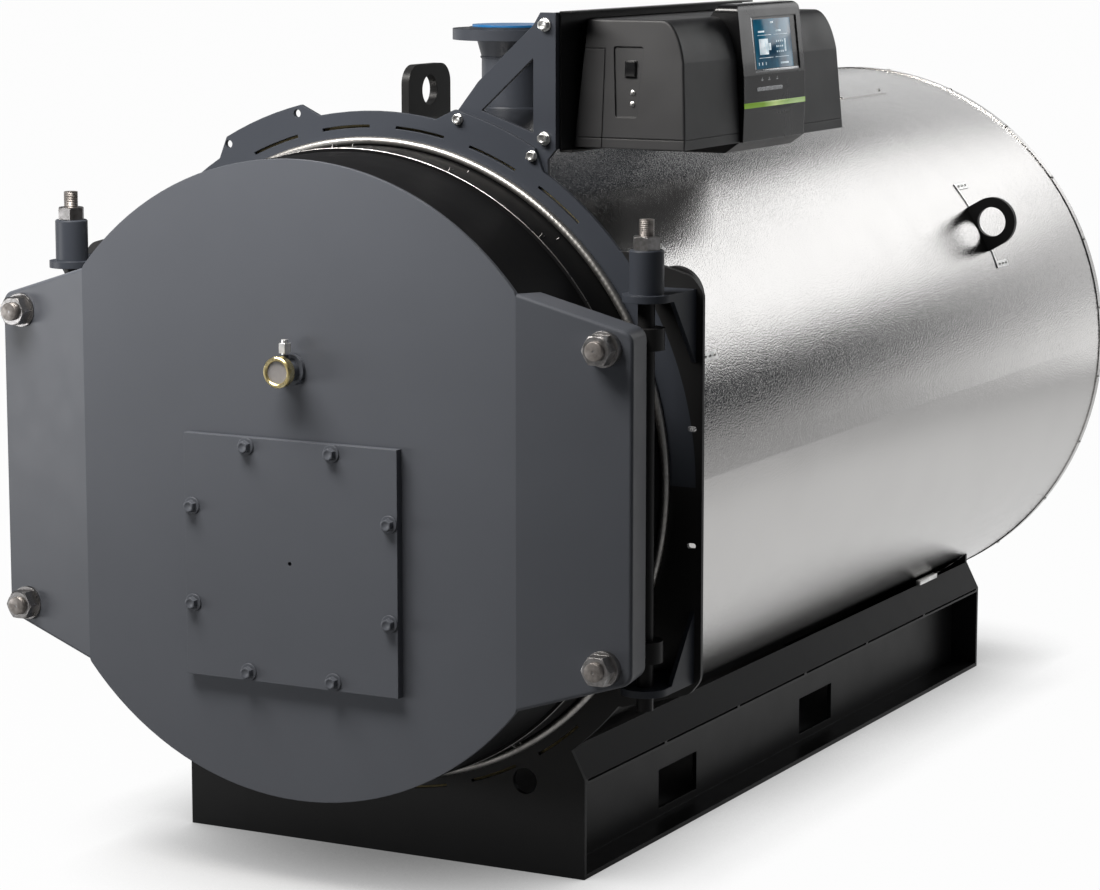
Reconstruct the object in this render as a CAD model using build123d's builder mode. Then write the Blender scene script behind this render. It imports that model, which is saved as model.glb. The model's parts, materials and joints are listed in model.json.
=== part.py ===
from build123d import *
import os
from math import atan2, cos, hypot, radians, sin, sqrt, tan

os.makedirs("parts", exist_ok=True)

# Sizes are millimetres. Z is up, the boiler door faces -Y, and the origin lies on the floor
# under the middle of the outline. Depths are counted from the front plate, + to the rear.
sheet = 8.0
over = 100.0  # how far raw blocks and cuts run past a finished face

# Shell: pressure vessel, insulation and cladding share the boiler axis.
vessel_r = 545.0
vessel_wall = 12.0
vessel_length = 2149.7
collar_reach = 89.7
insulation_thick = 37.5
rear_insulation = 55.0
clad_wall = 1.5
rear_lip = 6.0
rim_wall = 2.0
rim_width = 18.0
floor_gap = 113.0
clad_r = vessel_r + insulation_thick + clad_wall
axis_z = floor_gap + clad_r
clad_top = axis_z + clad_r
vessel_front = -collar_reach
vessel_rear = vessel_front + vessel_length
rear_cover_depth = vessel_rear + rear_insulation
clad_rear = rear_cover_depth + rear_lip

# Furnace, tube plate and flue outlet.
tube_plate_depth = 120.0
tube_plate_thick = 60.0
plate_fit = 0.1
furnace_r = 230.0
furnace_wall = 12.0
furnace_drop = 132.0
furnace_length = 1680.0
tube_r = 23.0
tube_bore_depth = 45.0
outer_row_inset = 75.0
outer_row_pitch = 12.0
outer_row_count = 20
inner_row_inset = 155.0
inner_row_pitch = 15.0
inner_row_count = 15
flue_r = 150.0
flue_wall = 4.0
flue_neck = 6.0
flue_rise = 130.0
flue_reach = 90.0
furnace_z = axis_z - furnace_drop
flue_z = axis_z + flue_rise

# Base rails: slanted top panel, recessed web and a foot that turns outwards.
base_width = 800.0
base_length = 1876.0
rail_gap = 14.4
rail_lean_x = 27.6
rail_lean_z = 53.9
rail_recess = 57.0
rail_bend_r = 5.0
slit_count = 6
slit_gap = 10.0
slit_width = 4.0
slit_depth = 6.0
pocket_first = 486.0
pocket_spacing = 634.0
pocket_width = 160.0
pocket_low = 22.0
pocket_height = 72.0
rail_top_x = base_width / 2 - rail_lean_x
rail_top_z = axis_z - sqrt((clad_r + rail_gap) ** 2 - rail_top_x**2)
rail_bend_z = rail_top_z - rail_lean_z
rail_web_x = base_width / 2 - rail_recess

# Door: a drum with two wings that are folded back along upright lines.
door_step = 5.0
door_gap = 0.3
door_depth = 190.0
door_sheet = 8.0
wing_land = 121.0
wing_fold = 9.9
wing_half = 283.0
wing_depth = 76.0
wing_corner = 22.0
wing_edge_r = 6.0
plug_clear = 33.0
plug_reach = 30.0
burner_r = 140.0
cover_size = 414.0
cover_thick = 15.0
cover_hole_r = 3.5
sight_rise = 193.0
sight_bore_r = 15.0
sight_tube_r = 19.0
sight_ring_r = 26.0
sight_reach = 42.0
sight_ring_thick = 8.0
sight_ring_lap = 8.0
sight_ring_bevel = 2.0
sight_foot = 8.0
sight_pane_thick = 4.0
sight_fitting_at = 22.0
sight_fitting_top = 52.0
sight_pipe_r = 6.0
sight_nut_from = 30.0
sight_nut_flat = 19.0
sight_nut_height = 16.0
door_r = vessel_r - door_step
door_back = vessel_front - door_gap
door_face = door_back - door_depth
plug_r = vessel_r - vessel_wall - plug_clear
wing_bend_x = door_r - wing_land
sight_z = axis_z + sight_rise

# Hinges: one upright rod on each side, with eye bolts that carry the wings.
rod_offset = 24.4
rod_stand = 104.0
rod_r = 14.0
rod_fit = 0.05
rod_tail = 28.0
thread_r = 11.5
thread_show = 49.0
hinge_plate_rise = 41.0
hinge_plate_thick = 12.0
hinge_plate_r = 40.0
sleeve_r = 28.5
sleeve_height = 72.0
sleeve_bevel = 2.0
rod_nut_flat = 42.0
rod_nut_height = 22.0
gusset_reach = 85.0
gusset_drop = 110.0
eye_inset = 25.0
eye_r = 30.0
eye_height = 36.0
shank_r = 15.0
door_nut_flat = 46.0
door_nut_height = 24.0
stud_reach = 38.4
stud_show = 7.0
nut_bevel = 30.0
washer_r = 29.0
seat_gap = 0.05
free_end_gap = 8.0
wing_margin = 46.6
rod_x = door_r + rod_offset
rod_depth = -rod_stand
wing_x = rod_x + wing_margin
eye_z = wing_half - eye_inset
hinge_plate_z = wing_half + hinge_plate_rise

# Front plate: ring, ears for the hinges, tabs for the control bracket, and the base end.
seal_width = 12.0
seal_sides = 8
ring_width = 46.0
slot_inset = 17.0
slot_width = 4.0
slot_span = 9.5
slot_pitch = 15.0
slot_first = 52.5
slot_count = 6
ear_margin = 52.1
ear_corner_rise = 1.0
ear_slope_x = 31.6
ear_slope_rise = 26.5
ear_root_x = 92.4
ear_root_rise = 61.5
ear_round = 30.0
ear_slot_inset = 18.5
ear_slot_z = 98.0
ear_slot_length = 16.0
ear_slot_width = 9.0
tab_rise = 25.0
tab_bolt_rise = 12.0
tab_bolt_angles = (75.0, 60.8)
tab_from = 61.0
tab_to = 76.0
tab_slope = 3.0
tab_hole_r = 7.0
drain_x = 285.0
drain_z = 161.0
drain_r = 23.0
ring_in = vessel_r + seal_width
ring_out = ring_in + ring_width
slot_r = ring_in + slot_inset
ear_x = rod_x + ear_margin

# Nozzles on top, with a nominal bore of 100 and flanges for 16 bar.
nozzle_pipe_r = 57.15
nozzle_bore_r = 53.5
nozzle_flange_r = 110.0
nozzle_flange_thick = 20.0
nozzle_face_r = 79.0
nozzle_face_rise = 3.0
nozzle_bolt_circle = 180.0
nozzle_bolt_count = 8
nozzle_bolt_r = 9.0
nozzle_rise = 146.0
nozzle_neck_r = 66.0
nozzle_neck_height = 32.0
supply_depth = 489.0
return_depth = 1130.0
cap_r = 74.0
cap_thick = 4.0
nozzle_top = clad_top + nozzle_rise

# Lugs.
lug_width = 146.0
lug_thick = 15.0
lug_rise = 92.0
lug_corner = 34.0
lug_hole_r = 26.0
lug_hole_drop = 45.0
front_lug_depth = 170.0
rear_lug_depth = 1680.0
top_cover_length = 239.0
top_cover_span = 40.0
lash_angle = 30.0
lash_thick = 12.0
lash_r = 50.0
lash_hole_r = 30.0
lash_rise = 32.0
lash_front_depth = 70.0
lash_rear_depth = 1560.0
lug_top = clad_top + lug_rise
lash_centre = clad_r + lash_rise

# Control unit on its bracket.
panel_offset = 40.0
panel_thick = 3.0
panel_height = 230.0
panel_start = 22.0
panel_length = 719.0
panel_lip = 24.0
unit_sink = 35.0
unit_height = 213.0
unit_start = 68.0
unit_length = 667.0
unit_taper = 17.0
unit_depth = 205.0
unit_lip = 16.0
brow_inset = 8.0
brow_drop = 70.0
brow_round = 34.0
brow_pull = 6.0
shoulder_pull = 22.0
shoulder_inset = 50.0
seam_width = 1.5
back_inset = 18.0
back_run = 60.0
strip_x = 95.0
strip_low = 52.0
strip_high = 169.0
strip_low_width = 39.0
strip_high_width = 55.0
strip_depth = 3.0
strip_round = 4.0
flap_width = 52.0
flap_height = 165.0
end_round = 4.0
screen_start = 219.0
screen_width = 258.0
screen_recess = 57.0
display_foot = 6.0
display_bar = 8.0
display_bar_rise = 57.0
display_face = 7.0
display_face_rise = 112.0
display_top = -7.0
display_rise = 21.0
display_back = 41.0
display_round = 12.0
display_corner = 14.0
glass_start = 50.0
glass_width = 190.0
glass_rise = 5.0
glass_height = 94.0
glass_depth = 2.0
tray_start = 244.0
tray_length = 278.0
tray_height = 21.0
tray_inset = 9.0
tray_flare = 30.0
bracket_thick = 8.0
bracket_fold = 32.0
bracket_gap = 4.0
bracket_margin = 2.0
bracket_toe = 9.0
bracket_root = 56.0
bracket_knee_x = 34.0
bracket_knee_z = 63.0
bracket_post = 42.0
bracket_shoulder = 23.0
bracket_head = 29.0
bracket_heel = 15.0
window_drop = 77.0
window_inset = 40.0
window_rise = 15.0
window_low = 28.0
panel_x = (ring_out + tab_bolt_rise) * cos(radians(tab_bolt_angles[1])) + panel_offset
unit_low = clad_top - unit_sink
unit_top = unit_low + unit_height
unit_back = panel_x + panel_thick
unit_front = unit_back + unit_depth
panel_low = unit_low - panel_thick
panel_top = panel_low + panel_height

# The origin lies under the middle of the whole outline, from the sight glass to the flue outlet.
foremost = door_face - sight_reach - sight_ring_thick
front_y = -(foremost + clad_rear + flue_reach) / 2


def at_depth(depth):
    # Upright plane across the boiler, facing the front.
    return Plane(origin=(0, front_y + depth, 0), x_dir=(1, 0, 0), z_dir=(0, -1, 0))


def on_axis(depth):
    # The same plane, centred on the boiler axis.
    return Plane(origin=(0, front_y + depth, axis_z), x_dir=(1, 0, 0), z_dir=(0, -1, 0))


def level(x, depth, z):
    # Level plane, facing up.
    return Plane(origin=(x, front_y + depth, z), x_dir=(1, 0, 0), z_dir=(0, 0, 1))


def side(x):
    # Upright plane along the boiler that faces +X; local x runs to the rear.
    return Plane(origin=(x, front_y, 0), x_dir=(0, 1, 0), z_dir=(1, 0, 0))


wing_run = (wing_x - wing_bend_x) / cos(radians(wing_fold))
wing_root = sqrt(door_r**2 - wing_bend_x**2)
wing_skin = door_face + (rod_x - wing_bend_x) * tan(radians(wing_fold))


def wing_plane(hand):
    # Face of a wing, with its origin on the fold; hand is 1 on the right and -1 on the left.
    return Plane(
        origin=(hand * wing_bend_x, front_y + door_face, axis_z),
        x_dir=(hand * cos(radians(wing_fold)), sin(radians(wing_fold)), 0),
        z_dir=(hand * sin(radians(wing_fold)), -cos(radians(wing_fold)), 0),
    )


def polar(radius, degrees):
    # Point of a plane across the boiler, at a radius and an angle about the boiler axis.
    return (radius * cos(radians(degrees)), axis_z + radius * sin(radians(degrees)))


def hand_angle(degrees, hand):
    # The same angle on the right side, or mirrored to the left.
    return degrees if hand == 1 else 180 - degrees


tab_bolts = [polar(ring_out + tab_bolt_rise, angle) for angle in tab_bolt_angles]
base_end = [
    (-base_width / 2, 0),
    (base_width / 2, 0),
    (base_width / 2, rail_bend_z),
    (rail_top_x, rail_top_z),
    (rail_top_x, axis_z),
    (-rail_top_x, axis_z),
    (-rail_top_x, rail_top_z),
    (-base_width / 2, rail_bend_z),
]

# Front plate
with BuildPart() as front_plate:
    with BuildSketch(at_depth(0)):
        with Locations((0, axis_z)):
            Circle(ring_out)
        ear = [
            (rod_x - ear_root_x, hinge_plate_z + ear_root_rise),
            (rod_x + ear_slope_x, hinge_plate_z + ear_slope_rise),
            (ear_x, hinge_plate_z + ear_corner_rise),
        ]
        right_ear = [(x, axis_z + z) for x, z in ear] + [(x, axis_z - z) for x, z in reversed(ear)]
        left_ear = [(-x, z) for x, z in reversed(right_ear)]
        with BuildLine():
            FilletPolyline(*right_ear, *left_ear, radius=ear_round, close=True)
        make_face()
        with BuildLine():
            Polyline(*base_end, close=True)
        make_face()
        for hand in (-1, 1):
            first = hand_angle(tab_from, hand)
            last = hand_angle(tab_to, hand)
            before = hand_angle(tab_from - tab_slope, hand)
            after = hand_angle(tab_to + tab_slope, hand)
            with BuildLine():
                crest = CenterArc((0, axis_z), ring_out + tab_rise, first, last - first)
                Polyline(
                    crest @ 1,
                    polar(ring_out, after),
                    polar(slot_r, after),
                    polar(slot_r, before),
                    polar(ring_out, before),
                    crest @ 0,
                )
            make_face()
        with Locations((0, axis_z)):
            Circle(ring_in, mode=Mode.SUBTRACT)
        for middle in range(slot_count):
            for hand in (1, -1):
                start = hand * (slot_first + slot_pitch * middle - slot_span / 2)
                arc = CenterArc((0, axis_z), slot_r, start, hand * slot_span, mode=Mode.PRIVATE)
                SlotArc(arc, slot_width, mode=Mode.SUBTRACT)
        ear_slot_x = ear_x - ear_slot_inset
        with Locations(*[(h * ear_slot_x, axis_z + v * ear_slot_z) for h in (-1, 1) for v in (-1, 1)]):
            SlotOverall(ear_slot_length, ear_slot_width, mode=Mode.SUBTRACT)
        with Locations(*[(h * x, z) for h in (-1, 1) for x, z in tab_bolts]):
            Circle(tab_hole_r, mode=Mode.SUBTRACT)
        with Locations((drain_x, drain_z), (-drain_x, drain_z)):
            Circle(drain_r, mode=Mode.SUBTRACT)
    extrude(amount=-sheet)
front_plate.part.label = "front_plate"
export_step(front_plate.part, "parts/front_plate.step")

# Rear end of the base, with a saddle for the shell
with BuildPart() as rear_base_plate:
    with BuildSketch(at_depth(base_length - sheet)):
        with BuildLine():
            Polyline(*base_end, close=True)
        make_face()
        with Locations((0, axis_z)):
            Circle(clad_r, mode=Mode.SUBTRACT)
    extrude(amount=-sheet)
rear_base_plate.part.label = "rear_base_plate"
export_step(rear_base_plate.part, "parts/rear_base_plate.step")

# Base rails
lean = hypot(rail_lean_x, rail_lean_z)
inner_bend_x = base_width / 2 - sheet * lean / rail_lean_z
rail_profile = [
    (rail_top_x, rail_top_z),
    (base_width / 2, rail_bend_z),
    (base_width / 2, rail_bend_z - sheet),
    (rail_web_x, rail_bend_z - sheet),
    (rail_web_x, sheet),
    (base_width / 2, sheet),
    (base_width / 2, 0),
    (rail_web_x - sheet, 0),
    (rail_web_x - sheet, rail_bend_z),
    (inner_bend_x, rail_bend_z),
    (rail_top_x - sheet * rail_lean_z / lean, rail_top_z - sheet * rail_lean_x / lean),
]
rail_length = base_length - 2 * sheet
slit_pitch = rail_length / slit_count
pocket_spots = [
    (pocket_first + i * pocket_spacing, pocket_low + pocket_height / 2) for i in range(2)
]
for side_name, hand in (("right", 1), ("left", -1)):
    with BuildPart() as base_rail:
        with BuildSketch(at_depth(sheet)):
            with BuildLine():
                Polyline(*[(hand * x, z) for x, z in rail_profile], close=True)
            make_face()
            outer_bend = vertices().sort_by_distance((hand * base_width / 2, rail_bend_z))[0]
            fillet(outer_bend, rail_bend_r)
        extrude(amount=-rail_length)
        with BuildSketch(side(hand * base_width / 2)):
            with Locations((base_length / 2, rail_bend_z - slit_width / 2)):
                with GridLocations(slit_pitch, 0, slit_count, 1):
                    SlotOverall(slit_pitch - slit_gap, slit_width)
        extrude(amount=-hand * slit_depth, mode=Mode.SUBTRACT)
        with BuildSketch(side(hand * rail_web_x)):
            with Locations(*pocket_spots):
                Rectangle(pocket_width, pocket_height)
        extrude(amount=-hand * sheet, mode=Mode.SUBTRACT)
    base_rail.part.label = "base_rail_" + side_name
    export_step(base_rail.part, "parts/base_rail_" + side_name + ".step")

# Pressure vessel: its front end is the collar that the door closes
nozzle_depths = (supply_depth, return_depth)
lug_depths = (front_lug_depth, rear_lug_depth)
lash_depths = (lash_front_depth, lash_rear_depth)
with BuildPart() as vessel:
    with BuildSketch(on_axis(vessel_front)):
        Circle(vessel_r)
    extrude(amount=-vessel_length)
    with BuildSketch(on_axis(vessel_front)):
        Circle(vessel_r - vessel_wall)
    extrude(amount=-(vessel_length - vessel_wall), mode=Mode.SUBTRACT)
    for depth in nozzle_depths:
        with BuildSketch(level(0, depth, axis_z)):
            Circle(nozzle_bore_r)
        extrude(amount=vessel_r, mode=Mode.SUBTRACT)
vessel.part.label = "vessel"
export_step(vessel.part, "parts/vessel.step")

# Tube plate with the mouths of the smoke tubes
tube_rows = (
    (vessel_r - outer_row_inset, outer_row_pitch, outer_row_count),
    (vessel_r - inner_row_inset, inner_row_pitch, inner_row_count),
)
with BuildPart() as tube_plate:
    with BuildSketch(on_axis(tube_plate_depth)):
        Circle(vessel_r - vessel_wall - plate_fit)
        with Locations((0, furnace_z - axis_z)):
            Circle(furnace_r + furnace_wall + plate_fit, mode=Mode.SUBTRACT)
    extrude(amount=-tube_plate_thick)
    with BuildSketch(on_axis(tube_plate_depth)):
        for row_r, row_pitch, row_count in tube_rows:
            row_span = row_pitch * (row_count - 1)
            with PolarLocations(row_r, row_count, 90 - row_span / 2, row_span, endpoint=True):
                Circle(tube_r)
    extrude(amount=-tube_bore_depth, mode=Mode.SUBTRACT)
tube_plate.part.label = "tube_plate"
export_step(tube_plate.part, "parts/tube_plate.step")

with BuildPart() as furnace:
    with BuildSketch(at_depth(tube_plate_depth)):
        with Locations((0, furnace_z)):
            Circle(furnace_r + furnace_wall)
    extrude(amount=-furnace_length)
    with BuildSketch(at_depth(tube_plate_depth)):
        with Locations((0, furnace_z)):
            Circle(furnace_r)
    extrude(amount=-(furnace_length - furnace_wall), mode=Mode.SUBTRACT)
furnace.part.label = "furnace"
export_step(furnace.part, "parts/furnace.step")


def cut_passages():
    # Cuts the places where nozzles, lifting lugs and lashing lugs leave the shell.
    for depth in nozzle_depths:
        with BuildSketch(level(0, depth, axis_z)) as profile:
            Circle(nozzle_pipe_r)
        extrude(profile.sketch, amount=clad_r, mode=Mode.SUBTRACT)
    for depth in lug_depths:
        with BuildSketch(level(0, depth, axis_z)) as profile:
            Rectangle(lug_thick, lug_width)
        extrude(profile.sketch, amount=clad_r, mode=Mode.SUBTRACT)
    for depth in lash_depths:
        with BuildSketch(on_axis(depth - lash_thick / 2)) as profile:
            for hand in (1, -1):
                with PolarLocations(clad_r, 1, start_angle=hand_angle(lash_angle, hand)):
                    Rectangle(2 * over, 2 * lash_r)
        extrude(profile.sketch, amount=-lash_thick, mode=Mode.SUBTRACT)


with BuildPart() as insulation:
    with BuildSketch(on_axis(sheet)):
        Circle(clad_r - clad_wall)
    extrude(amount=-(rear_cover_depth - sheet))
    with BuildSketch(on_axis(sheet)):
        Circle(vessel_r)
    extrude(amount=-(vessel_rear - sheet), mode=Mode.SUBTRACT)
    with BuildSketch(at_depth(vessel_rear)):
        with Locations((0, flue_z)):
            Circle(flue_r + flue_neck)
    extrude(amount=-rear_insulation, mode=Mode.SUBTRACT)
    cut_passages()
insulation.part.label = "insulation"
export_step(insulation.part, "parts/insulation.step")

with BuildPart() as cladding:
    with BuildSketch(on_axis(sheet)):
        Circle(clad_r)
        Circle(clad_r - clad_wall, mode=Mode.SUBTRACT)
    extrude(amount=-(clad_rear - sheet))
    cut_passages()
cladding.part.label = "cladding"
export_step(cladding.part, "parts/cladding.step")

with BuildPart() as rear_cover:
    with BuildSketch(on_axis(rear_cover_depth)):
        Circle(clad_r - clad_wall)
        with Locations((0, flue_rise)):
            Circle(flue_r + flue_neck, mode=Mode.SUBTRACT)
    extrude(amount=-rim_wall)
rear_cover.part.label = "rear_cover"
export_step(rear_cover.part, "parts/rear_cover.step")

with BuildPart() as rear_rim:
    with BuildSketch(on_axis(clad_rear - rim_width)):
        Circle(clad_r + rim_wall)
        Circle(clad_r, mode=Mode.SUBTRACT)
    extrude(amount=-rim_width)
rear_rim.part.label = "rear_rim"
export_step(rear_rim.part, "parts/rear_rim.step")

# Flue outlet: a neck through the insulation and a spigot for the flue pipe
spigot_from = rear_cover_depth + rim_wall
with BuildPart() as flue_outlet:
    with BuildSketch(at_depth(vessel_rear)):
        with Locations((0, flue_z)):
            Circle(flue_r + flue_neck)
    extrude(amount=-(spigot_from - vessel_rear))
    with BuildSketch(at_depth(spigot_from)):
        with Locations((0, flue_z)):
            Circle(flue_r)
    extrude(amount=-(clad_rear + flue_reach - spigot_from))
    with BuildSketch(at_depth(vessel_rear)):
        with Locations((0, flue_z)):
            Circle(flue_r - flue_wall)
    extrude(amount=-(clad_rear + flue_reach - vessel_rear), mode=Mode.SUBTRACT)
flue_outlet.part.label = "flue_outlet"
export_step(flue_outlet.part, "parts/flue_outlet.step")

with BuildPart() as seal_ring:
    with BuildSketch(level(0, 0, axis_z)):
        with Locations((vessel_r + seal_width / 2, 0)):
            RegularPolygon(seal_width / 2, seal_sides)
    revolve(axis=Axis((0, front_y, axis_z), (0, 1, 0)))
seal_ring.part.label = "seal_ring"
export_step(seal_ring.part, "parts/seal_ring.step")

# Nozzles
pipe_end = nozzle_top - nozzle_flange_thick - nozzle_face_rise
for name, depth in (("supply_nozzle", supply_depth), ("return_nozzle", return_depth)):
    with BuildPart() as nozzle:
        with BuildSketch(level(0, depth, axis_z)):
            Circle(nozzle_pipe_r)
        extrude(amount=pipe_end - axis_z)
        with BuildSketch(level(0, depth, pipe_end - nozzle_neck_height)):
            Circle(nozzle_pipe_r)
        with BuildSketch(level(0, depth, pipe_end)):
            Circle(nozzle_neck_r)
        loft()
        with BuildSketch(level(0, depth, pipe_end)):
            Circle(nozzle_flange_r)
            with PolarLocations(nozzle_bolt_circle / 2, nozzle_bolt_count, 180 / nozzle_bolt_count):
                Circle(nozzle_bolt_r, mode=Mode.SUBTRACT)
        extrude(amount=nozzle_flange_thick)
        with BuildSketch(level(0, depth, pipe_end + nozzle_flange_thick)):
            Circle(nozzle_face_r)
        extrude(amount=nozzle_face_rise)
        with BuildSketch(level(0, depth, axis_z)):
            Circle(nozzle_bore_r)
        extrude(amount=nozzle_top - axis_z, mode=Mode.SUBTRACT)
        with BuildSketch(on_axis(depth - nozzle_flange_r)):
            Circle(vessel_r)
        extrude(amount=-2 * nozzle_flange_r, mode=Mode.SUBTRACT)
    nozzle.part.label = name
    export_step(nozzle.part, "parts/" + name + ".step")

with BuildPart() as supply_cap:
    with BuildSketch(level(0, supply_depth, nozzle_top)):
        Circle(cap_r)
    extrude(amount=cap_thick)
supply_cap.part.label = "supply_cap"
export_step(supply_cap.part, "parts/supply_cap.step")

# Lifting lugs
for name, depth in (("front_lug", front_lug_depth), ("rear_lug", rear_lug_depth)):
    with BuildPart() as lug:
        with BuildSketch(side(-lug_thick / 2)):
            with Locations((depth, (axis_z + lug_top) / 2)):
                Rectangle(lug_width, lug_top - axis_z)
            fillet(vertices().group_by(Axis.Y)[-1], lug_corner)
            with Locations((depth, lug_top - lug_hole_drop)):
                Circle(lug_hole_r, mode=Mode.SUBTRACT)
        extrude(amount=lug_thick)
        with BuildSketch(on_axis(depth - lug_width)):
            Circle(vessel_r)
        extrude(amount=-2 * lug_width, mode=Mode.SUBTRACT)
    lug.part.label = name
    export_step(lug.part, "parts/" + name + ".step")

# Cover sheet on the cladding around the rear lug
with BuildPart() as top_cover:
    with BuildSketch(on_axis(rear_lug_depth - top_cover_length / 2)):
        Circle(clad_r + rim_wall)
        Circle(clad_r, mode=Mode.SUBTRACT)
        half_x = 2 * clad_r * sin(radians(top_cover_span / 2))
        half_z = 2 * clad_r * cos(radians(top_cover_span / 2))
        with BuildLine():
            Polyline((0, 0), (half_x, half_z), (-half_x, half_z), close=True)
        make_face(mode=Mode.INTERSECT)
    extrude(amount=-top_cover_length)
    with BuildSketch(level(0, rear_lug_depth, axis_z)):
        Rectangle(lug_thick, lug_width)
    extrude(amount=clad_r + over, mode=Mode.SUBTRACT)
top_cover.part.label = "top_cover"
export_step(top_cover.part, "parts/top_cover.step")

# Lashing lugs on both sides
for side_name, hand in (("right", 1), ("left", -1)):
    angle = hand_angle(lash_angle, hand)
    for end_name, depth in zip(("front", "rear"), lash_depths):
        with BuildPart() as lash:
            with BuildSketch(on_axis(depth - lash_thick / 2)):
                with PolarLocations(lash_centre, 1, start_angle=angle):
                    Circle(lash_r)
                with PolarLocations(lash_centre / 2, 1, start_angle=angle):
                    Rectangle(lash_centre, 2 * lash_r)
                with PolarLocations(lash_centre, 1, start_angle=angle):
                    Circle(lash_hole_r, mode=Mode.SUBTRACT)
                Circle(vessel_r, mode=Mode.SUBTRACT)
            extrude(amount=-lash_thick)
        name = "lashing_lug_" + end_name + "_" + side_name
        lash.part.label = name
        export_step(lash.part, "parts/" + name + ".step")

# Hinge brackets and rods
def turn_corners(end_face, flat):
    # Turns the corners of a nut off to a cone; the plane lies on the end face and looks out.
    upright = Plane(origin=end_face.origin, x_dir=end_face.x_dir, z_dir=-end_face.y_dir)
    drop = flat / 2 * tan(radians(nut_bevel))
    with BuildSketch(upright) as profile:
        with BuildLine():
            Polyline((flat / 2, 0), (flat, 0), (flat, -drop), close=True)
        make_face()
    revolve(profile.sketch, axis=Axis(end_face.origin, end_face.z_dir), mode=Mode.SUBTRACT)


sleeve_top = axis_z + hinge_plate_z + hinge_plate_thick / 2 + sleeve_height
rod_low = axis_z - hinge_plate_z - hinge_plate_thick / 2 - rod_tail
for side_name, hand in (("right", 1), ("left", -1)):
    for end_name, up in (("upper", 1), ("lower", -1)):
        plate_low = axis_z + up * hinge_plate_z - hinge_plate_thick / 2
        with BuildPart() as bracket:
            with BuildSketch(level(hand * rod_x, rod_depth, plate_low)):
                Circle(hinge_plate_r)
                with Locations((0, rod_stand / 2)):
                    Rectangle(2 * hinge_plate_r, rod_stand)
            extrude(amount=hinge_plate_thick)
            if up == 1:
                with BuildSketch(level(hand * rod_x, rod_depth, plate_low + hinge_plate_thick)):
                    Circle(sleeve_r)
                extrude(amount=sleeve_height)
            gusset_z = plate_low if up == 1 else plate_low + hinge_plate_thick
            with BuildSketch(side(hand * (rod_x + hinge_plate_r))):
                with BuildLine():
                    Polyline(
                        (0, gusset_z),
                        (-gusset_reach, gusset_z),
                        (0, gusset_z - up * gusset_drop),
                        close=True,
                    )
                make_face()
            extrude(amount=-hand * sheet)
            with BuildSketch(level(hand * rod_x, rod_depth, plate_low)):
                Circle(rod_r + rod_fit)
            extrude(amount=hinge_plate_thick + sleeve_height, mode=Mode.SUBTRACT)
            if up == 1:
                sleeve_rim = bracket.faces().sort_by(Axis.Z)[-1].edges().sort_by(Edge.length)[-1]
                chamfer(sleeve_rim, sleeve_bevel)
        name = "hinge_bracket_" + end_name + "_" + side_name
        bracket.part.label = name
        export_step(bracket.part, "parts/" + name + ".step")
    with BuildPart() as rod:
        with BuildSketch(level(hand * rod_x, rod_depth, rod_low)):
            Circle(rod_r)
        extrude(amount=sleeve_top - rod_low)
        with BuildSketch(level(hand * rod_x, rod_depth, sleeve_top)):
            RegularPolygon(rod_nut_flat / 2, 6, major_radius=False)
        extrude(amount=rod_nut_height)
        turn_corners(level(hand * rod_x, rod_depth, sleeve_top + rod_nut_height), rod_nut_flat)
        with BuildSketch(level(hand * rod_x, rod_depth, sleeve_top)):
            Circle(thread_r)
        extrude(amount=thread_show)
    rod.part.label = "hinge_rod_" + side_name
    export_step(rod.part, "parts/hinge_rod_" + side_name + ".step")

# Right eye bolts carry the door; the left ones stay on their rod and end behind the wing skin
stud_end = wing_skin - stud_reach
nut_back = stud_end + door_nut_height + stud_show
skin_behind = wing_skin + door_sheet / cos(radians(wing_fold)) + shank_r * tan(radians(wing_fold))


def nut_on_wing(hand, bolt_z):
    # Nut, with its washer ground to the slope of the wing.
    with BuildSketch(at_depth(nut_back)) as profile:
        with Locations((hand * rod_x, bolt_z)):
            Circle(washer_r)
    extrude(profile.sketch, amount=-over)
    with BuildSketch(wing_plane(hand).offset(seat_gap)) as profile:
        Rectangle(2 * wing_x, 2 * axis_z)
    extrude(profile.sketch, amount=-2 * over, mode=Mode.SUBTRACT)
    with BuildSketch(at_depth(nut_back)) as profile:
        with Locations((hand * rod_x, bolt_z)):
            RegularPolygon(door_nut_flat / 2, 6, major_radius=False)
    extrude(profile.sketch, amount=door_nut_height)
    nut_face = at_depth(nut_back - door_nut_height)
    turn_corners(nut_face.shift_origin((hand * rod_x, nut_face.origin.Y, bolt_z)), door_nut_flat)


def eye_on_rod(hand, bolt_z, shank_from, bore_r):
    # Shank that runs back to an eye around the hinge rod.
    with BuildSketch(at_depth(rod_depth)) as profile:
        with Locations((hand * rod_x, bolt_z)):
            Circle(shank_r)
    extrude(profile.sketch, amount=rod_depth - shank_from)
    with BuildSketch(level(hand * rod_x, rod_depth, bolt_z - eye_height / 2)) as profile:
        Circle(eye_r)
    extrude(profile.sketch, amount=eye_height)
    with BuildSketch(level(hand * rod_x, rod_depth, bolt_z - eye_height / 2)) as profile:
        Circle(bore_r)
    extrude(profile.sketch, amount=eye_height, mode=Mode.SUBTRACT)


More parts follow.
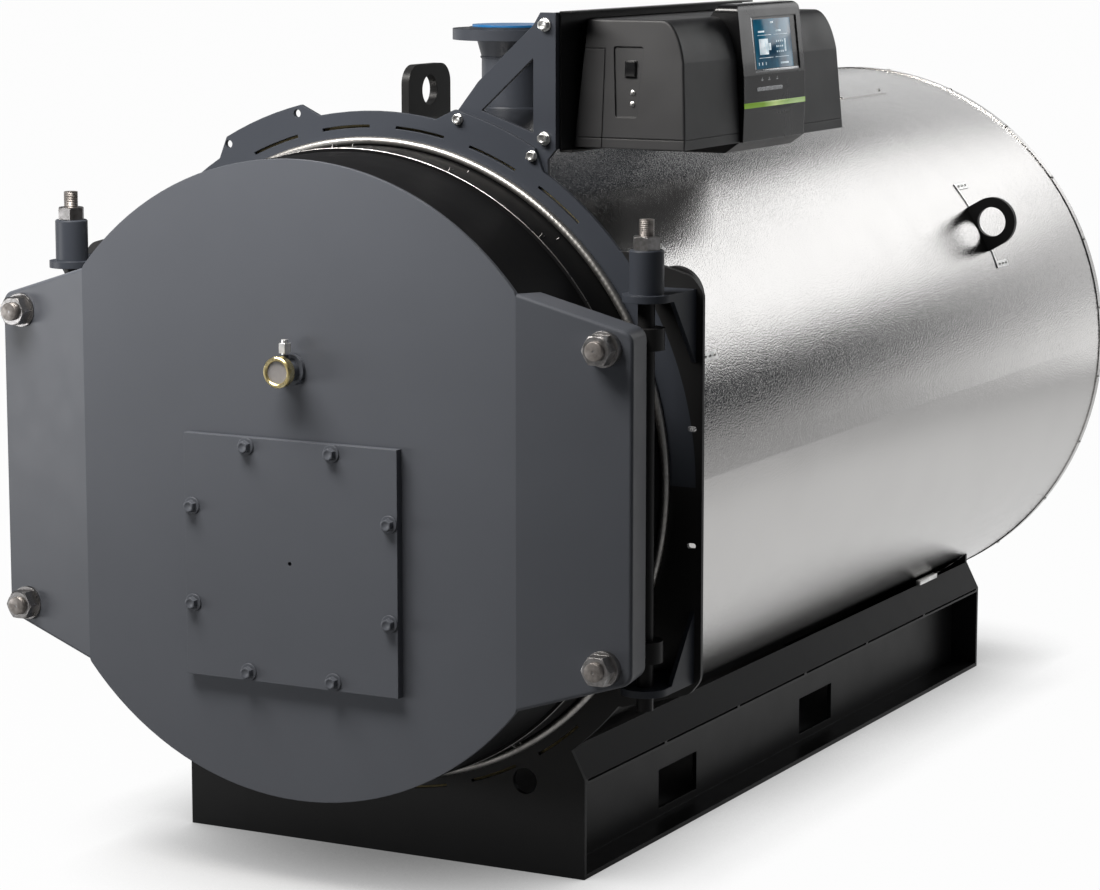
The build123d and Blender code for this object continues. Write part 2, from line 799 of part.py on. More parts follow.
for end_name, up in (("upper", 1), ("lower", -1)):
    bolt_z = axis_z + up * eye_z
    with BuildPart() as eye_bolt:
        nut_on_wing(1, bolt_z)
        eye_on_rod(1, bolt_z, stud_end, rod_r + rod_fit)
    eye_bolt.part.label = "eye_bolt_" + end_name + "_right"
    export_step(eye_bolt.part, "parts/eye_bolt_" + end_name + "_right.step")

    with BuildPart() as free_eye:
        eye_on_rod(-1, bolt_z, skin_behind + free_end_gap, rod_r)
    free_eye.part.label = "eye_bolt_" + end_name + "_left"
    export_step(free_eye.part, "parts/eye_bolt_" + end_name + "_left.step")

    with BuildPart() as door_nut:
        nut_on_wing(-1, bolt_z)
        with BuildSketch(at_depth(nut_back)):
            with Locations((-rod_x, bolt_z)):
                Circle(shank_r)
        extrude(amount=nut_back - stud_end)
    door_nut.part.label = "door_nut_" + end_name + "_left"
    export_step(door_nut.part, "parts/door_nut_" + end_name + "_left.step")

# Door skin: disc and wings with turned-back edges
slope = (wing_root - wing_half) / wing_run
inner = door_sheet * sqrt(1 + slope**2)
wing_outline = [(0, -wing_root), (wing_run, -wing_half), (wing_run, wing_half), (0, wing_root)]
wing_hollow = [
    (-over, -wing_root - over * slope + inner),
    (wing_run - door_sheet, -wing_half - door_sheet * slope + inner),
    (wing_run - door_sheet, wing_half + door_sheet * slope - inner),
    (-over, wing_root + over * slope - inner),
]


def wing_sheet(hand, thick):
    # Outline of a wing, raised backwards from its face.
    with BuildSketch(wing_plane(hand)) as profile:
        with BuildLine():
            Polyline(*wing_outline, close=True)
        make_face()
        fillet(vertices().group_by(Axis.X)[-1], wing_corner)
    extrude(profile.sketch, amount=-thick)


def on_wing_outline(edge, hand):
    # True for the edges of a wing's face that lie outside the disc, apart from bolt holes.
    middle = edge.center()
    on_face = abs(wing_plane(hand).to_local_coords(middle).Z) < seat_gap
    outside = hypot(middle.X, middle.Z - axis_z) > door_r + seat_gap
    return on_face and outside and edge.geom_type in (GeomType.LINE, GeomType.CIRCLE)


def door_bores(run):
    # Bores for the burner and the sight glass.
    with BuildSketch(at_depth(door_face)) as profile:
        with Locations((0, furnace_z)):
            Circle(burner_r)
        with Locations((0, sight_z)):
            Circle(sight_bore_r)
    extrude(profile.sketch, amount=-run, mode=Mode.SUBTRACT)


def trim_to_wings():
    # Cuts the drum back to the inside of both wings.
    for hand in (1, -1):
        with BuildSketch(wing_plane(hand).offset(-door_sheet)) as profile:
            Rectangle(2 * wing_x, 2 * axis_z)
        extrude(profile.sketch, amount=over, mode=Mode.SUBTRACT)


with BuildPart() as door_skin:
    for hand in (1, -1):
        wing_sheet(hand, wing_depth)
        with BuildSketch(wing_plane(hand).offset(-door_sheet)):
            with BuildLine():
                Polyline(*wing_hollow, close=True)
            make_face()
            fillet(vertices().group_by(Axis.X)[-1], wing_corner - door_sheet)
        extrude(amount=-wing_depth, mode=Mode.SUBTRACT)
    with BuildSketch(on_axis(door_face - over)):
        Circle(door_r)
    extrude(amount=-(2 * over + wing_depth), mode=Mode.SUBTRACT)
    for hand in (1, -1):
        wing_sheet(hand, door_sheet)
    with BuildSketch(on_axis(door_face)):
        Circle(door_r)
        Rectangle(2 * wing_bend_x, 2 * door_r, mode=Mode.INTERSECT)
    extrude(amount=-door_sheet)
    door_bores(door_sheet)
    with BuildSketch(at_depth(door_face)):
        with Locations((rod_x, axis_z + eye_z), (rod_x, axis_z - eye_z)):
            Circle(shank_r)
    extrude(amount=-wing_depth, mode=Mode.SUBTRACT)
    for hand in (1, -1):
        fillet([edge for edge in door_skin.edges() if on_wing_outline(edge, hand)], wing_edge_r)
door_skin.part.label = "door_skin"
export_step(door_skin.part, "parts/door_skin.step")

# Door drum and its lining
with BuildPart() as door_rim:
    with BuildSketch(on_axis(door_face + door_sheet)):
        Circle(door_r)
        Circle(door_r - door_sheet, mode=Mode.SUBTRACT)
    extrude(amount=-(door_depth - door_sheet))
    trim_to_wings()
door_rim.part.label = "door_rim"
export_step(door_rim.part, "parts/door_rim.step")

with BuildPart() as door_lining:
    with BuildSketch(on_axis(door_face + door_sheet)):
        Circle(door_r - door_sheet)
    extrude(amount=-(door_depth - door_sheet))
    with BuildSketch(on_axis(door_back)):
        Circle(plug_r)
    extrude(amount=-plug_reach)
    trim_to_wings()
    door_bores(door_depth + plug_reach)
door_lining.part.label = "door_lining"
export_step(door_lining.part, "parts/door_lining.step")

with BuildPart() as burner_cover:
    with BuildSketch(at_depth(door_face)):
        with Locations((0, furnace_z)):
            Rectangle(cover_size, cover_size)
            Circle(cover_hole_r, mode=Mode.SUBTRACT)
    extrude(amount=cover_thick)
burner_cover.part.label = "burner_cover"
export_step(burner_cover.part, "parts/burner_cover.step")

# Sight glass with its purge fitting
with BuildPart() as sight_tube:
    with BuildSketch(at_depth(door_face)):
        with Locations((0, sight_z)):
            Circle(sight_ring_r)
    extrude(amount=sight_foot)
    with BuildSketch(at_depth(door_face)):
        with Locations((0, sight_z)):
            Circle(sight_tube_r)
    extrude(amount=sight_reach)
    with BuildSketch(level(0, door_face - sight_fitting_at, sight_z)):
        Circle(sight_pipe_r)
    extrude(amount=sight_fitting_top)
    with BuildSketch(level(0, door_face - sight_fitting_at, sight_z + sight_nut_from)):
        RegularPolygon(sight_nut_flat / 2, 6, major_radius=False)
    extrude(amount=sight_nut_height)
    with BuildSketch(at_depth(door_face)):
        with Locations((0, sight_z)):
            Circle(sight_bore_r)
    extrude(amount=sight_reach, mode=Mode.SUBTRACT)
sight_tube.part.label = "sight_tube"
export_step(sight_tube.part, "parts/sight_tube.step")

with BuildPart() as sight_ring:
    with BuildSketch(at_depth(door_face - sight_reach + sight_ring_lap)):
        with Locations((0, sight_z)):
            Circle(sight_ring_r)
            Circle(sight_tube_r, mode=Mode.SUBTRACT)
    extrude(amount=sight_ring_lap + sight_ring_thick)
    chamfer(sight_ring.faces().sort_by(Axis.Y)[0].edges(), sight_ring_bevel)
sight_ring.part.label = "sight_ring"
export_step(sight_ring.part, "parts/sight_ring.step")

with BuildPart() as sight_pane:
    with BuildSketch(at_depth(door_face - sight_reach)):
        with Locations((0, sight_z)):
            Circle(sight_tube_r)
    extrude(amount=sight_pane_thick)
sight_pane.part.label = "sight_pane"
export_step(sight_pane.part, "parts/sight_pane.step")

# Control bracket behind the right tab of the front plate
inner_x, inner_z = tab_bolts[0]
strut_top_x = panel_x - bracket_post
bracket_outline = [
    (inner_x - bracket_toe, inner_z - bracket_root),
    (inner_x - bracket_toe, inner_z + bracket_toe),
    (inner_x + bracket_knee_x, inner_z + bracket_knee_z),
    (strut_top_x, panel_top - bracket_shoulder),
    (panel_x - bracket_head, panel_top - bracket_margin),
    (panel_x, panel_top - bracket_margin),
    (panel_x, panel_low + bracket_margin),
    (panel_x - bracket_heel, panel_low - bracket_heel),
    (panel_x - bracket_heel, panel_low - bracket_root),
]
bracket_window = [
    (strut_top_x, panel_top - window_drop),
    (inner_x + window_inset, inner_z + window_rise),
    (strut_top_x, panel_low + window_low),
]
with BuildPart() as control_bracket:
    with BuildSketch(at_depth(sheet)):
        with BuildLine():
            Polyline(*bracket_outline, close=True)
        make_face()
        with Locations((0, axis_z)):
            Circle(clad_r + bracket_gap, mode=Mode.SUBTRACT)
        with BuildLine():
            Polyline(*bracket_window, close=True)
        make_face(mode=Mode.SUBTRACT)
        with Locations(*tab_bolts):
            Circle(tab_hole_r, mode=Mode.SUBTRACT)
    extrude(amount=-bracket_thick)
    with BuildSketch(at_depth(sheet + bracket_thick)):
        with Locations((panel_x - bracket_thick / 2, (panel_low + panel_top) / 2)):
            Rectangle(bracket_thick, panel_height - 2 * bracket_margin)
    extrude(amount=-bracket_fold)
control_bracket.part.label = "control_bracket"
export_step(control_bracket.part, "parts/control_bracket.step")

# Back panel with a lip along its top and its foot
panel_middle = panel_start + panel_length / 2
with BuildPart() as control_panel:
    with BuildSketch(side(panel_x)):
        with Locations((panel_middle, (panel_low + panel_top) / 2)):
            Rectangle(panel_length, panel_height)
    extrude(amount=panel_thick)
    with BuildSketch(side(panel_x)):
        for lip_z in (panel_top - panel_thick / 2, panel_low - panel_thick / 2):
            with Locations((panel_middle, lip_z)):
                Rectangle(panel_length, panel_thick)
    extrude(amount=panel_lip)
control_panel.part.label = "control_panel"
export_step(control_panel.part, "parts/control_panel.step")

# Control unit housing with tapered ends that stand off the panel, and a bay for the screen
unit_end = unit_start + unit_length
screen_from = unit_start + screen_start
screen_middle = screen_from + screen_width / 2
lip_top = unit_low + unit_lip
end_lean = atan2(unit_taper, unit_height)
end_face = Plane(
    origin=(unit_back, front_y + unit_start, unit_low),
    x_dir=(1, 0, 0),
    z_dir=(0, -cos(end_lean), sin(end_lean)),
)
brow = (unit_front - brow_inset, unit_top - brow_drop)
shoulder = (unit_front - shoulder_inset, unit_top)


def on_unit_end(edge):
    # True for the edges of both end faces that run over the front and the top of the housing.
    middle = edge.center()
    from_end = (middle.Z - unit_low) * unit_taper / unit_height
    at_start = abs(middle.Y - front_y - unit_start - from_end) < seat_gap
    at_end = abs(front_y + unit_end - from_end - middle.Y) < seat_gap
    return (at_start or at_end) and middle.X > unit_back + end_round and middle.Z > lip_top + seam_width


with BuildPart() as control_housing:
    with BuildSketch(at_depth(unit_start)):
        with BuildLine():
            Polyline(
                shoulder,
                (unit_back, unit_top),
                (unit_back, unit_low),
                (unit_front, unit_low),
                (unit_front, lip_top),
                (unit_front - seam_width, lip_top),
                (unit_front - seam_width, lip_top + seam_width),
                (unit_front, lip_top + seam_width),
                brow,
            )
            Bezier(
                brow,
                (brow[0] - brow_pull, brow[1] + brow_round),
                (shoulder[0] + shoulder_pull, unit_top),
                shoulder,
            )
        make_face()
    extrude(amount=-unit_length)
    with BuildSketch(side(unit_back)):
        with BuildLine():
            Polyline(
                (unit_start, unit_low),
                (unit_end, unit_low),
                (unit_end - unit_taper, unit_top),
                (unit_start + unit_taper, unit_top),
                close=True,
            )
        make_face()
    extrude(amount=unit_depth, mode=Mode.INTERSECT)
    fillet([edge for edge in control_housing.edges() if on_unit_end(edge)], end_round)
    for cut_from in (unit_start, unit_end - back_run):
        with BuildSketch(at_depth(cut_from)):
            with BuildLine():
                Polyline(
                    (unit_back, unit_low),
                    (unit_back + back_inset, unit_top),
                    (unit_back, unit_top),
                    close=True,
                )
            make_face()
        extrude(amount=-back_run, mode=Mode.SUBTRACT)
    with BuildSketch(side(unit_front - screen_recess)):
        with Locations((screen_middle, unit_low + unit_height / 2)):
            Rectangle(screen_width, unit_height)
    extrude(amount=screen_recess, mode=Mode.SUBTRACT)
    with BuildSketch(end_face):
        with BuildLine():
            FilletPolyline(
                (strip_x - strip_low_width / 2, strip_low),
                (strip_x + strip_low_width / 2, strip_low),
                (strip_x + strip_high_width / 2, strip_high),
                (strip_x - strip_high_width / 2, strip_high),
                radius=strip_round,
                close=True,
            )
        make_face()
    extrude(amount=-strip_depth, mode=Mode.SUBTRACT)
    with BuildSketch(end_face):
        with Locations((flap_width, flap_height / 2)):
            Rectangle(seam_width, flap_height)
        with Locations((flap_width / 2, flap_height)):
            Rectangle(flap_width, seam_width)
        with Locations((unit_depth / 2, (unit_lip + seam_width / 2) / cos(end_lean))):
            Rectangle(unit_depth, seam_width)
    extrude(amount=-seam_width, mode=Mode.SUBTRACT)
control_housing.part.label = "control_housing"
export_step(control_housing.part, "parts/control_housing.step")

# Display unit that stands in the bay, bulging past the housing
display_profile = [
    (unit_front - screen_recess, unit_low),
    (unit_front + display_foot, unit_low),
    (unit_front + display_bar, unit_low + display_bar_rise),
    (unit_front + display_face, unit_low + display_face_rise),
    (unit_front + display_top, unit_top + display_rise),
    (unit_front - display_back, unit_top + display_rise),
    (unit_front - screen_recess, unit_top),
]
display_height = unit_height + display_rise
face_lean = atan2(display_face - display_top, display_height - display_face_rise)
glass_plane = Plane(
    origin=(unit_front + display_face, front_y + screen_from, unit_low + display_face_rise),
    x_dir=(0, 1, 0),
    z_dir=(cos(face_lean), 0, sin(face_lean)),
)
with BuildPart() as display_unit:
    with BuildSketch(at_depth(screen_from)):
        with BuildLine():
            Polyline(*display_profile, close=True)
        make_face()
        fillet(vertices().group_by(Axis.Y)[-1], display_round)
    extrude(amount=-screen_width)
    with BuildSketch(side(unit_front - screen_recess)):
        with Locations((screen_middle, unit_low + display_height / 2)):
            Rectangle(screen_width, display_height)
        fillet(vertices().group_by(Axis.Y)[-1], display_corner)
    extrude(amount=screen_recess + display_bar, mode=Mode.INTERSECT)
    with BuildSketch(glass_plane):
        with Locations((glass_start + glass_width / 2, glass_rise + glass_height / 2)):
            Rectangle(glass_width, glass_height)
    extrude(amount=-glass_depth, mode=Mode.SUBTRACT)
display_unit.part.label = "display_unit"
export_step(display_unit.part, "parts/display_unit.step")

with BuildPart() as control_tray:
    with BuildSketch(at_depth(unit_start + tray_start)):
        with BuildLine():
            Polyline(
                (panel_x + panel_lip, unit_low),
                (panel_x + panel_lip, unit_low - tray_height),
                (unit_front - tray_inset - tray_flare, unit_low - tray_height),
                (unit_front - tray_inset, unit_low),
                close=True,
            )
        make_face()
    extrude(amount=-tray_length)
control_tray.part.label = "control_tray"
export_step(control_tray.part, "parts/control_tray.step")
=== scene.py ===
import json
from math import cos, pi, radians, sin, sqrt, tan

import bmesh
import bpy
from mathutils import Matrix, Vector


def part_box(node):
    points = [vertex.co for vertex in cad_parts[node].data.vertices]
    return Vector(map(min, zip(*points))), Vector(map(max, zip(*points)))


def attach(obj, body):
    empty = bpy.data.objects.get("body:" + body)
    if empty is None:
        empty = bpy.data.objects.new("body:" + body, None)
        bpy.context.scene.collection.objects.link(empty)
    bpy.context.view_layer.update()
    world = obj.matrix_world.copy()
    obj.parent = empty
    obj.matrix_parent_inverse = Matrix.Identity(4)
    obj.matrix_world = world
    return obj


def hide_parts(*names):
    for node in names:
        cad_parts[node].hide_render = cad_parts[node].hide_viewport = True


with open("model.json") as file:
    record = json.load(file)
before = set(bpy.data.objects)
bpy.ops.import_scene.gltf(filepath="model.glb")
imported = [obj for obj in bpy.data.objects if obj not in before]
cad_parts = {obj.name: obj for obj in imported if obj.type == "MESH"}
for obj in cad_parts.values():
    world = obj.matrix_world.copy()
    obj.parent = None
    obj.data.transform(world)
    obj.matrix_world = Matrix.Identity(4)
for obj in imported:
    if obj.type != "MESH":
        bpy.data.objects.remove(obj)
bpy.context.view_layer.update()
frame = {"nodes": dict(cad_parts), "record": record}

# Pieces are drawn in millimetres in the boiler's plan: x to the right, depth back from the face of
# the front plate, z up from the floor. The scene is in metres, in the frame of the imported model.
MM = 0.001
FRONT_PLATE_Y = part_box("front_plate")[0].y


def plan_box(node):
    """Lowest and highest corner of a CAD node in plan millimetres."""
    shift = Vector((0, FRONT_PLATE_Y, 0))
    low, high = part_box(node)
    return (low - shift) / MM, (high - shift) / MM


def middle(node):
    low, high = plan_box(node)
    return (low + high) / 2


AXIS_Z = middle("vessel").z
CLAD_R = (plan_box("cladding")[1].x - plan_box("cladding")[0].x) / 2
VESSEL_R = (plan_box("vessel")[1].x - plan_box("vessel")[0].x) / 2
PLATE_THICK = plan_box("front_plate")[1].y
ROD_X = middle("hinge_rod_right").x
ROD_DEPTH = middle("hinge_rod_right").y


# Node building

def place(tree, kind, inputs=None, **settings):
    """Adds a shader node; an input that is a socket is linked, any other value is set."""
    node = tree.nodes.new("ShaderNode" + kind)
    for name, value in settings.items():
        setattr(node, name, value)
    for key, value in (inputs or {}).items():
        if isinstance(value, bpy.types.NodeSocket):
            tree.links.new(value, node.inputs[key])
        else:
            node.inputs[key].default_value = value
    return node


def number(tree, operation, first, second=0.0, clamp=False):
    """Output of a Math node."""
    return place(tree, "Math", {0: first, 1: second}, operation=operation, use_clamp=clamp).outputs[0]


def remap(tree, value, from_low, from_high, to_low, to_high):
    """Output of a clamped Map Range node."""
    sockets = {"Value": value, "From Min": from_low, "From Max": from_high}
    sockets.update({"To Min": to_low, "To Max": to_high})
    return place(tree, "MapRange", sockets).outputs["Result"]


def blend_colours(tree, mask, first, second):
    """Colour that goes from the first to the second by the mask."""
    mix = place(tree, "Mix", data_type="RGBA")
    for socket, value in ((mix.inputs[0], mask), (mix.inputs[6], first), (mix.inputs[7], second)):
        if isinstance(value, bpy.types.NodeSocket):
            tree.links.new(value, socket)
        else:
            socket.default_value = value
    return mix.outputs[2]


def start_group(name, inputs, outputs):
    """Empty shader group with named sockets."""
    group = bpy.data.node_groups.new(name, "ShaderNodeTree")
    kinds = {"colour": "NodeSocketColor", "value": "NodeSocketFloat", "vector": "NodeSocketVector"}
    for label, kind, default in inputs:
        socket = group.interface.new_socket(label, in_out="INPUT", socket_type=kinds[kind])
        socket.default_value = default
    for label, kind in outputs:
        group.interface.new_socket(label, in_out="OUTPUT", socket_type=kinds[kind])
    return group, group.nodes.new("NodeGroupInput").outputs, group.nodes.new("NodeGroupOutput").inputs


def surface_place(tree):
    """Coordinates that stay with the piece, in metres."""
    return place(tree, "TexCoord").outputs["Object"]


def surface_axes(tree):
    """The same coordinates, one output for each axis."""
    return place(tree, "SeparateXYZ", {"Vector": surface_place(tree)}).outputs


# Effects that several finishes share

def make_paint_skin():
    """Sprayed paint: cloudy tone, patchy gloss and a fine orange peel."""
    inputs = (
        ("Colour", "colour", (0.1, 0.1, 0.1, 1.0)),
        ("Roughness", "value", 0.4),
        ("Cloud", "value", 0.06),
        ("Peel Scale", "value", 500.0),
    )
    outputs = (("Colour", "colour"), ("Roughness", "value"), ("Height", "value"))
    group, taken, given = start_group("paint_skin", inputs, outputs)
    where = surface_place(group)
    cloud = place(group, "TexNoise", {"Vector": where, "Scale": 2.4, "Detail": 4.0}).outputs["Fac"]
    patch = place(group, "TexNoise", {"Vector": where, "Scale": 17.0, "Detail": 5.0}).outputs["Fac"]
    peel = place(group, "TexNoise", {"Vector": where, "Scale": taken["Peel Scale"], "Detail": 2.0})
    tone = number(group, "MULTIPLY_ADD", remap(group, cloud, 0.3, 0.7, -1.0, 1.0), taken["Cloud"])
    tone.node.inputs[2].default_value = 1.0
    tinted = place(group, "VectorMath", {0: taken["Colour"], "Scale": tone}, operation="SCALE")
    gloss = number(group, "ADD", taken["Roughness"], remap(group, patch, 0.3, 0.7, -0.02, 0.025))
    group.links.new(tinted.outputs["Vector"], given["Colour"])
    group.links.new(gloss, given["Roughness"])
    group.links.new(peel.outputs["Fac"], given["Height"])
    return group


def make_edge_round():
    """Softened edges: the normal that a small edge radius gives, and a mask of rubbed spots on it."""
    inputs = (("Radius", "value", 0.0015), ("Rub", "value", 0.4))
    outputs = (("Normal", "vector"), ("Mask", "value"))
    group, taken, given = start_group("edge_round", inputs, outputs)
    rounded = place(group, "Bevel", {"Radius": taken["Radius"]}, samples=4).outputs["Normal"]
    flat = place(group, "NewGeometry").outputs["Normal"]
    agree = place(group, "VectorMath", {0: rounded, 1: flat}, operation="DOT_PRODUCT").outputs["Value"]
    edge = remap(group, agree, 0.97, 0.8, 0.0, 1.0)
    spots = place(group, "TexNoise", {"Vector": surface_place(group), "Scale": 60.0, "Detail": 6.0})
    worn = remap(group, spots.outputs["Fac"], 0.5, 0.66, 0.0, 1.0)
    rubbed = number(group, "MULTIPLY", number(group, "MULTIPLY", edge, worn), taken["Rub"])
    group.links.new(rounded, given["Normal"])
    group.links.new(rubbed, given["Mask"])
    return group


def make_fine_grain():
    """Fine grain of moulded or plated surfaces, with a wider mottle."""
    inputs = (("Scale", "value", 900.0), ("Mottle Scale", "value", 30.0))
    outputs = (("Height", "value"), ("Mottle", "value"))
    group, taken, given = start_group("fine_grain", inputs, outputs)
    where = surface_place(group)
    grain = place(group, "TexVoronoi", {"Vector": where, "Scale": taken["Scale"]}, feature="F1")
    mottle = place(group, "TexNoise", {"Vector": where, "Scale": taken["Mottle Scale"], "Detail": 5.0})
    group.links.new(grain.outputs["Distance"], given["Height"])
    group.links.new(mottle.outputs["Fac"], given["Mottle"])
    return group


def make_stucco():
    """Rolled stucco pattern of the cladding sheet."""
    inputs = (("Grain Scale", "value", 260.0),)
    outputs = (("Height", "value"), ("Mottle", "value"))
    group, taken, given = start_group("stucco", inputs, outputs)
    where = surface_place(group)
    grain = place(group, "TexNoise", {"Vector": where, "Scale": taken["Grain Scale"], "Detail": 1.0})
    mottle = place(group, "TexNoise", {"Vector": where, "Scale": 6.0, "Detail": 6.0})
    group.links.new(grain.outputs["Fac"], given["Height"])
    group.links.new(mottle.outputs["Fac"], given["Mottle"])
    return group


PAINT_SKIN = make_paint_skin()
EDGE_ROUND = make_edge_round()
FINE_GRAIN = make_fine_grain()
STUCCO = make_stucco()


# Finishes

def start_finish(name, **plain):
    """New material with one Principled shader whose plain values are set on its sockets."""
    finish = bpy.data.materials.new(name)
    finish.use_nodes = True
    tree = finish.node_tree
    tree.nodes.clear()
    shader = place(tree, "BsdfPrincipled")
    for label, value in plain.items():
        shader.inputs[label.replace("_", " ")].default_value = value
    output = place(tree, "OutputMaterial")
    tree.links.new(shader.outputs["BSDF"], output.inputs["Surface"])
    return finish, tree, shader


def use_group(tree, group, **values):
    """Places a shared effect with its own values."""
    node = place(tree, "Group", node_tree=group)
    for label, value in values.items():
        node.inputs[label.replace("_", " ")].default_value = value
    return node.outputs


def add_relief(tree, shader, height, strength, distance, normal=None):
    """Bump that feeds the shader's normal."""
    sockets = {"Height": height, "Strength": strength, "Distance": distance}
    if normal is not None:
        sockets["Normal"] = normal
    relief = place(tree, "Bump", sockets)
    tree.links.new(relief.outputs["Normal"], shader.inputs["Normal"])


EDGE_RADIUS = 0.0016
GREY = (0.08, 0.086, 0.1, 1.0)
GREY_RUBBED = (0.17, 0.18, 0.2, 1.0)
# Darker, bluer copy of GREY: painted shade for the ring, bracket, nozzles and hinge brackets behind the
# door.
SHADED_GREY = (0.04, 0.045, 0.056, 1.0)
GREY_SHINE = 0.22
BLACK = (0.0165, 0.0165, 0.017, 1.0)
BLACK_RUBBED = (0.06, 0.06, 0.06, 1.0)
# Darker, duller black for the vessel collar and door rim: the darker colour is painted shade of the recess.
SHADED_BLACK = (0.006, 0.006, 0.0065, 1.0)
BLACK_SHINE = 0.14
ZINC = (0.36, 0.35, 0.35, 1.0)
ZINC_DULL = (0.2, 0.195, 0.19, 1.0)
RING_R = 605.0
EAR_TOP_Z = 1110.0


def painted(name, colour, rubbed, roughness, shine):
    """Sprayed paint on sheet steel, slightly rubbed on its edges."""
    finish, tree, shader = start_finish(name, IOR=1.5, Specular_IOR_Level=shine)
    skin = use_group(tree, PAINT_SKIN, Colour=colour, Roughness=roughness)
    edge = use_group(tree, EDGE_ROUND, Radius=EDGE_RADIUS, Rub=0.35)
    tree.links.new(blend_colours(tree, edge["Mask"], skin["Colour"], rubbed), shader.inputs["Base Color"])
    tree.links.new(skin["Roughness"], shader.inputs["Roughness"])
    add_relief(tree, shader, skin["Height"], 0.12, 0.0004, edge["Normal"])
    return finish


def front_plate_paint_and_shade():
    """Front plate: grey upper ring and tabs, black ears and base end; the lower ring is black as painted
    shade.
    """
    finish, tree, shader = start_finish("front_plate_paint_and_shade", IOR=1.5, Specular_IOR_Level=GREY_SHINE)
    grey = use_group(tree, PAINT_SKIN, Colour=SHADED_GREY, Roughness=0.42)
    black = use_group(tree, PAINT_SKIN, Colour=BLACK, Roughness=0.38)
    edge = use_group(tree, EDGE_ROUND, Radius=EDGE_RADIUS, Rub=0.3)
    spread = surface_axes(tree)
    rise = number(tree, "SUBTRACT", spread["Z"], AXIS_Z * MM)
    across = number(tree, "POWER", spread["X"], 2.0)
    radius = number(tree, "SQRT", number(tree, "ADD", across, number(tree, "POWER", rise, 2.0)))
    on_ring = number(tree, "LESS_THAN", radius, RING_R * MM)
    # Only the upper half of the ring is grey: the black lower half is painted shade.
    upper = number(tree, "GREATER_THAN", rise, 0.0)
    on_tab = number(tree, "GREATER_THAN", spread["Z"], EAR_TOP_Z * MM)
    is_grey = number(tree, "MAXIMUM", number(tree, "MULTIPLY", on_ring, upper), on_tab)
    paint = blend_colours(tree, is_grey, black["Colour"], grey["Colour"])
    tree.links.new(blend_colours(tree, edge["Mask"], paint, GREY_RUBBED), shader.inputs["Base Color"])
    tree.links.new(grey["Roughness"], shader.inputs["Roughness"])
    add_relief(tree, shader, grey["Height"], 0.12, 0.0004, edge["Normal"])
    return finish


def part_plated(name, paint, axis, side, limit, zinc, dull):
    """Painted steel that is bare zinc on one side of a plane across an axis."""
    finish, tree, shader = start_finish(name, IOR=1.5, Specular_IOR_Level=BLACK_SHINE)
    skin = use_group(tree, PAINT_SKIN, Colour=paint, Roughness=0.38)
    bloom = use_group(tree, FINE_GRAIN, Scale=700.0, Mottle_Scale=90.0)
    edge = use_group(tree, EDGE_ROUND, Radius=0.001, Rub=0.5)
    bare = number(tree, side, surface_axes(tree)[axis], limit)
    plating = blend_colours(tree, remap(tree, bloom["Mottle"], 0.35, 0.7, 0.0, 1.0), zinc, dull)
    tone = blend_colours(tree, bare, skin["Colour"], plating)
    tree.links.new(blend_colours(tree, edge["Mask"], tone, zinc), shader.inputs["Base Color"])
    tree.links.new(bare, shader.inputs["Metallic"])
    tree.links.new(skin["Roughness"], shader.inputs["Roughness"])
    add_relief(tree, shader, bloom["Height"], 0.1, 0.0004, edge["Normal"])
    return finish


def embossed_sheet(name, colour, roughness, grain_scale, strength):
    """Bright stucco-embossed sheet."""
    finish, tree, shader = start_finish(name, Metallic=1.0)
    rolled = use_group(tree, STUCCO, Grain_Scale=grain_scale)
    dull = tuple(0.97 * part for part in colour[:3]) + (1.0,)
    cloudy = remap(tree, rolled["Mottle"], 0.35, 0.65, 0.0, 1.0)
    tree.links.new(blend_colours(tree, cloudy, dull, colour), shader.inputs["Base Color"])
    patchy = remap(tree, rolled["Mottle"], 0.3, 0.7, roughness + 0.005, roughness - 0.005)
    tree.links.new(patchy, shader.inputs["Roughness"])
    add_relief(tree, shader, rolled["Height"], strength, 0.0016)
    return finish


def plated(name, colour, dull, roughness, grain=700.0, radius=0.0008):
    """Bare or plated metal with a cloudy bloom."""
    finish, tree, shader = start_finish(name, Metallic=1.0)
    bloom = use_group(tree, FINE_GRAIN, Scale=grain, Mottle_Scale=90.0)
    edge = use_group(tree, EDGE_ROUND, Radius=radius, Rub=0.6)
    cloudy = remap(tree, bloom["Mottle"], 0.35, 0.7, 0.0, 1.0)
    tone = blend_colours(tree, cloudy, colour, dull)
    bright = tuple(min(1.0, 1.25 * part) for part in colour[:3]) + (1.0,)
    tree.links.new(blend_colours(tree, edge["Mask"], tone, bright), shader.inputs["Base Color"])
    patchy = remap(tree, bloom["Mottle"], 0.3, 0.7, roughness - 0.06, roughness + 0.1)
    tree.links.new(patchy, shader.inputs["Roughness"])
    add_relief(tree, shader, bloom["Height"], 0.1, 0.0004, edge["Normal"])
    return finish


def moulded(name, colour, roughness, grain, strength, coat=0.0):
    """Moulded plastic with a fine grain."""
    finish, tree, shader = start_finish(name, IOR=1.48, Coat_Weight=coat, Coat_Roughness=0.04)
    grainy = use_group(tree, FINE_GRAIN, Scale=grain, Mottle_Scale=12.0)
    edge = use_group(tree, EDGE_ROUND, Radius=0.0025, Rub=0.1)
    pale = tuple(1.18 * part for part in colour[:3]) + (1.0,)
    tone = blend_colours(tree, remap(tree, grainy["Mottle"], 0.35, 0.65, 0.0, 1.0), colour, pale)
    tree.links.new(tone, shader.inputs["Base Color"])
    patchy = remap(tree, grainy["Mottle"], 0.3, 0.7, roughness - 0.04, roughness + 0.05)
    tree.links.new(patchy, shader.inputs["Roughness"])
    add_relief(tree, shader, grainy["Height"], strength, 0.0005, edge["Normal"])
    return finish


